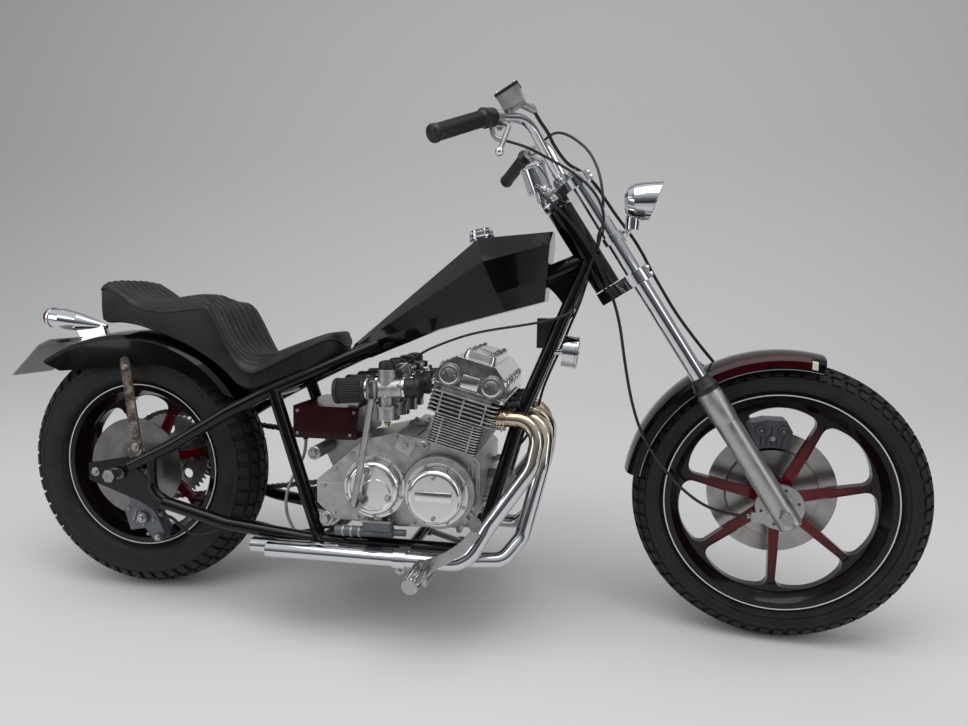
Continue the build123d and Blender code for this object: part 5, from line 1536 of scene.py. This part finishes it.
# Black discs on the hub's plate: painted shade where holes would be dark.
for place in ring_places(FRONT_HUB, 41, 6, 15, -59):
    hole_shade_discs.append(turned(pin(3.6, 0.3, -2), place, RIGHT, 16))
keep_all(hole_shade_discs, "hub_plate_hole_shades", dial_black, "steering", slot="steel")
for place in ring_places(FRONT_HUB, 27, 4, 45, -59):
    ring_bolts += hex_bolt(place, RIGHT, 7)
ring_bolts.append(turned([(0, 0), (4, 0), (4, 14), (5.5, 15), (5.5, 20), (0, 20)], (752, -53, 298), BACK, 20))
keep_all(ring_bolts, "front_brake_bolts", bolt_steel, "steering")

rear_bolts, rear_ribs = [], []
for x, z, size in ((-768, 200, 14), (-724, 152, 9)):
    rear_bolts += hex_bolt((x, -96, z), RIGHT, size)
for x, z in ((-808, 222), (-738, 196), (-754, 158)):
    rear_bolts += socket_bolt((x, -88, z), RIGHT, 8)
for step in range(4):
    rear_ribs.append(block((-792 + 9 * step, -88, 205 - 4 * step), (3.4, 5, 34), 1.2, 20))
rear_ribs.append(turned([(0, 0), (11, 0), (13, 1), (13, 9), (11, 11), (0, 11)], (-110, -158, 262), UP))
for x in (-136, -84):
    rear_bolts += socket_bolt((x, -158, 263), UP, 7)
rear_ribs.append(block((-110, -158, 262), (72, 35, 5), 1.5))
ring = [(0, 0), (13.2, 0), (13.6, 1), (13.6, 4), (13.2, 5), (0, 5)]
for x in (-196, -176, -156):
    rear_ribs.append(turned(ring, (x, -158, 230.5), (1, 0, 0.03)))
keep_all(rear_bolts, "rear_brake_bolts", bolt_steel)
keep_all(rear_ribs, "rear_brake_ribs", satin_aluminium)

# %% [markdown]
# ### What turns with the wheels
#
# Seven bolts hold a disc or a hub flange, one for each spoke, and six more hold the rear
# sprocket. They ride on the wheel's body, so that they go round with it.

# %% Disc bolts and hub flanges
for end, centre, places in (
    ("front", FRONT_HUB, ((47.8, -1, 44), (59.5, 1, 46))),
    ("rear", REAR_HUB, ((-52.6, 1, 56), (-61.5, -1, 48))),
):
    heads = []
    for y, side, radius in places:
        for place in ring_places(centre, radius, 7, 12, y):
            heads += hex_bolt(place, (0, side, 0), 9)
    if end == "rear":
        for place in ring_places(centre, 42, 6, 0, 87.5):
            heads += hex_bolt(place, LEFT, 11)
    space = "steering" if end == "front" else "chassis"
    keep_all(heads, end + "_disc_bolts", bolt_steel, end + "_wheel", space)

# %% [markdown]
# ### Up the fork
#
# These parts are drawn in the fork's own space, whose height runs up the steering axis,
# so the rake and the turn of the bars need no sums here.

# %% Fork boots, caps and pinch bolts
# Heights run up the fork from the axle's level.
AXLE_FOOT, SEAL, STEM_TOP = -30, 314, 865
boots, fork_metal, fork_bolts = [], [], []
boot = [(27.4, 0), (28.4, 2), (28.4, 12), (25, 16), (24, 24), (20.5, 28), (19.6, 36)]
boot = [(0, SEAL), *[(radius, SEAL + rise) for radius, rise in boot], (0, SEAL + 36)]
collar = [(0, 236), (26.2, 236), (28.2, 246), (28.2, 304), (27, 306), (27, SEAL), (0, SEAL)]
foot = [(0, AXLE_FOOT), (24, AXLE_FOOT), (26.6, -27), (26.6, -12), (0, -12)]
cap = [(0, STEM_TOP), (16, STEM_TOP), (17, 867), (17, 870), (14, 872), (0, 872)]
for y in (-100, 100):
    leg = (FORK_OFFSET, y, 0)
    boots.append(turned(boot, leg, UP, 48))
    fork_metal += [turned(collar, leg, UP, 48), turned(foot, leg, UP, 48)]
    fork_bolts.append(turned(cap, leg, UP))
    fork_bolts += hex_bolt((FORK_OFFSET, y, 872), UP, 17)
    for z in (598, 614, 848, 859):
        fork_bolts += hex_bolt((FORK_OFFSET + 28, y, z), AHEAD, 9)
    for dx in (-17, 17):
        fork_bolts += hex_bolt((FORK_OFFSET + dx, y, AXLE_FOOT), DOWN, 10)
    fork_bolts += socket_bolt((FORK_OFFSET - 25.5, y, 12), BACK, 8)
fork_bolts.append(turned(pin(24, STEM_TOP, 868), (0, 0, 0), UP))
fork_bolts += hex_bolt((0, 0, 868), UP, 30)
keep_all(boots, "fork_boots", soft_rubber, "steering", "fork")
keep_all(fork_metal, "slider_collars", satin_aluminium, "steering", "fork")
keep_all(fork_bolts, "fork_bolts", bolt_steel, "steering", "fork")

# %% [markdown]
# ## Handlebar, lamps and small fittings
#
# Grips with lengthwise grooves and rounded ends replace the plain tubes. The levers end
# in balls, the reservoir gets its lid, the gauge a dial with plain marks, the headlight a
# lens over its reflector and the tail lamp a dark red one.

# %% Grips, levers and reservoir
grip_parts, bar_metal, bar_bolts, bar_black = [], [], [], []
for side in (-1, 1):
    start, end = Vector((157, side * 246, 1154.6)), Vector((82, side * 359, 1105.3))
    out = direction(start, end)
    length = (end - start).length
    flange = [(0, -1), (20, -1), (21, 0.5), (21, 4), (18, 6), (16.6, 12), (16.6, 16), (0, 16)]
    tip = [(15.5, length - 14), (16.8, length - 12), (18.6, length - 6), (18.6, length - 1)]
    rounded = [(17.4, length + 2.5), (13, length + 5.6), (6, length + 7), (0, length + 7)]
    grip_parts.append(turned(flange, start, out, 48))
    grip_parts.append(fluted(start + out * 14, out, length - 24, 15.6, 17.0, 26))
    grip_parts.append(turned([(0, length - 14), *tip, *rounded], start, out, 48))
    ball = [(9 * math.sin(a), -9 * math.cos(a)) for a in np.linspace(0, math.pi, 12)]
    bar_metal.append(turned(ball, (202, side * 312, 1076), (0, side, -0.8), 24))
    bar_bolts += hex_bolt((181, side * 214, 1141), DOWN, 10)
    for dx in (-14, 14):
        bar_bolts += socket_bolt((294 + dx, side * 44, 1056 + dx * 0.35), (0.3, 0, 0.95), 9)
keep_all(grip_parts, "grip_sleeves", soft_rubber, "steering", replaced=["grips"])
housing_axis = direction((169, -227, 1158.6), (158.5, -243, 1155.4))
housing = [(0, -1), (18.6, -1), (19.8, 0.5), (19.8, 8), (19.2, 8.6), (19.8, 9.4), (19.8, 18.5)]
housing += [(18.6, 20), (0, 20)]
bar_black.append(turned(housing, (169, -227, 1158.6), housing_axis, 40))
bar_black.append(block((191.5, -182, 1220), (56, 50, 6), 2, -30))
keep_all(bar_black, "bar_controls", engine_black, "steering")
for x in (-21, 21):
    for y in (-18, 18):
        place = Vector((191.5 + x * 0.866 - 1.8, -182 + y, 1220 + x * 0.5 + 3))
        bar_bolts += socket_bolt(place, (-0.5, 0, 0.866), 6)
keep_all(bar_metal, "lever_balls", polished_aluminium, "steering")
keep_all(bar_bolts, "bar_bolts", bolt_steel, "steering")

# %% [markdown]
# ### The gauge
#
# The speedometer is a chrome can with a bezel round its dial. Its marks could be painted
# on by a material, but thin blocks round the dial stay sharp close up.

# %% Gauge
gauge_low, gauge_top = Vector((238, 0, 1030)), Vector((218, 0, 1086))
gauge_up = direction(gauge_low, gauge_top)
bezel = [(27, -1), (30.4, -1), (31.4, 0.5), (31.4, 4), (30, 5.6), (28, 5.4), (26.4, 3), (26.4, 0)]
rings = [turned(bezel, gauge_top, gauge_up, 64)]
rings.append(turned([(30, 0), (30.8, 1), (30.8, 3), (30, 4)], gauge_low + gauge_up * 6, gauge_up, 64))
keep_all(rings, "gauge_rings", chrome, "steering")
keep_all([turned(pin(27, 0.8, -0.5), gauge_top, gauge_up, 48)], "gauge_dial", dial_black, "steering")
marks = []
for step in range(21):
    mark = block((0, 1.0, 21.5), (1.0 if step % 5 else 1.8, 0.5, 4 if step % 5 else 7), 0.1)
    mark.transform(facing(gauge_top, gauge_up) @ Matrix.Rotation(math.radians(-135 + 13.5 * step), 4, "Y"))
    marks.append(mark)
hand = block((0, 1.6, 8), (1.4, 0.5, 22), 0.1)
hand.transform(facing(gauge_top, gauge_up) @ Matrix.Rotation(math.radians(-135), 4, "Y"))
keep_all([*marks, hand], "gauge_marks", dial_white, "steering")

# %% [markdown]
# ### Lamps
#
# A headlight is a mirror bowl behind a curved glass, with a bulb in its middle, and all
# of it is turned about the lamp's axis. The glass is a shell with some thickness,
# because light bends at both of its sides.

# %% Headlight and tail lamp
lamp_axis = Vector((1, 0, 0.03)).normalized()
lamp_back = Vector((432, 0, 1006))
bowl = [(0, 45), (9, 45.4), (20, 47.5), (30, 51), (38, 55.5), (40.6, 57)]
keep_all([turned(bowl, lamp_back, lamp_axis, 56)], "headlight_reflector", mirror_glass, "steering", sharp=60)
lens = [(0, 65), (14, 64.3), (28, 61.8), (38, 58.4), (40.4, 57), (40.4, 55.6), (28, 59.6), (14, 62)]
lens.append((0, 62.6))
keep_all([turned(lens, lamp_back, lamp_axis, 56)], "headlight_lens", lens_glass, "steering", sharp=60)
bulb = [(0, 45), (6, 45), (6, 49), (4, 52), (4.4, 56), (0, 58.5)]
trim_ring = [(40.2, 55), (41.2, 55), (41.2, 59.5), (39.6, 60), (38.6, 58.8), (39, 57)]
trim = [turned(bulb, lamp_back, lamp_axis, 20), turned(trim_ring, lamp_back, lamp_axis, 56)]
keep_all(trim, "headlight_trim", chrome, "steering")
tail_axis = Vector((186, 0, -24)).normalized()
tail_back = Vector((-1104, 0, 712))
glass = [(0, -3), (10, -2.4), (18, 0.5), (24, 7), (26.4, 15), (26.4, 17), (0, 17)]
keep_all([turned(glass, tail_back, tail_axis, 48)], "tail_lens", red_lens, sharp=60)
tail_ring = [(26, 14), (28, 15), (28.6, 18), (28.4, 22), (27, 22)]
keep_all([turned(tail_ring, tail_back, tail_axis, 48)], "tail_ring", chrome)

# %% [markdown]
# ### The last small pieces
#
# These share their metals, so they are gathered by finish. The filler cap and the pegs
# are fluted for grip, the horn has raised rings on its face, and the regulator has fins
# that cool it.

# %% Filler cap, horn, pegs, pedals and plate bolts
cap_axis = direction((102, 0, 905), (93, 0, 944))
cap_low = Vector((93, 0, 944)) - cap_axis * 16
bright = [fluted(cap_low, cap_axis, 12, 27.2, 30, 20)]
bright.append(turned([(0, 12), (26, 12), (26, 15), (22, 18), (12, 20), (0, 20.5)], cap_low, cap_axis, 48))
bright.append(turned([(31, -6), (32, -5), (32, -2), (30, 0), (27, 0), (27, -6)], cap_low, cap_axis, 48))
horn_axis = Vector((1, 0, -0.1)).normalized()
horn_face = Vector((300, 0, 657)) + horn_axis * 34
horn_rim = [(38.2, -4), (39.6, -3), (39.6, 1.5), (38, 3), (34, 3), (33, 1)]
bright.append(turned(horn_rim, horn_face, horn_axis, 56))
for radius in (8, 14, 20, 26):
    bright.append(turned([(radius, 0), (radius + 1.6, 2.2), (radius + 3.2, 0)], horn_face, horn_axis, 48))
bright += dome(horn_face, horn_axis, 12, 0.5)
for side in (-1, 1):
    start, end = Vector((16, side * 232, 188)), Vector((10, side * 318, 176))
    bright.append(fluted(start + direction(start, end) * 5, direction(start, end), 78, 17.2, 19, 12))
keep_all(bright, "bright_trim", chrome)
rubbers = []
for side in (-1, 1):
    start, end = Vector((132, side * 226, 289)), Vector((138, side * 264, 304))
    rubbers.append(fluted(start, direction(start, end), 40, 13.6, 15, 12))
keep_all(rubbers, "pedal_rubbers", soft_rubber)
small_bolts = []
for y in (-30, 30):
    for x, z in ((-1090, 624), (-1140, 574)):
        small_bolts += hex_bolt((x - 1, y, z + 1.2), (-0.7, 0, 0.7), 9)
for y in (-1, 1):
    small_bolts += hex_bolt((-740, y * 149, 400), (0, y, 0), 13)
    small_bolts += hex_bolt((-801, y * 96, 590), (0, y, 0), 11)
    small_bolts += hex_bolt((-857, y * 144, 330), (0, y, 0), 13)
for x, z in ((-322, 506), (-180, 506), (-322, 452), (-190, 452)):
    small_bolts += socket_bolt((x, -125, z), RIGHT, 8)
for y in (-24, 24):
    for z in (672, 728):
        small_bolts += socket_bolt((273, y, z), AHEAD, 6)
keep_all(small_bolts, "frame_bolts", bolt_steel)
ribs = []
for step in range(9):
    ribs.append(block((275, -28 + 7 * step, 700), (9, 1.8, 64), 0.5))
keep_all(ribs, "regulator_fins", box_black)
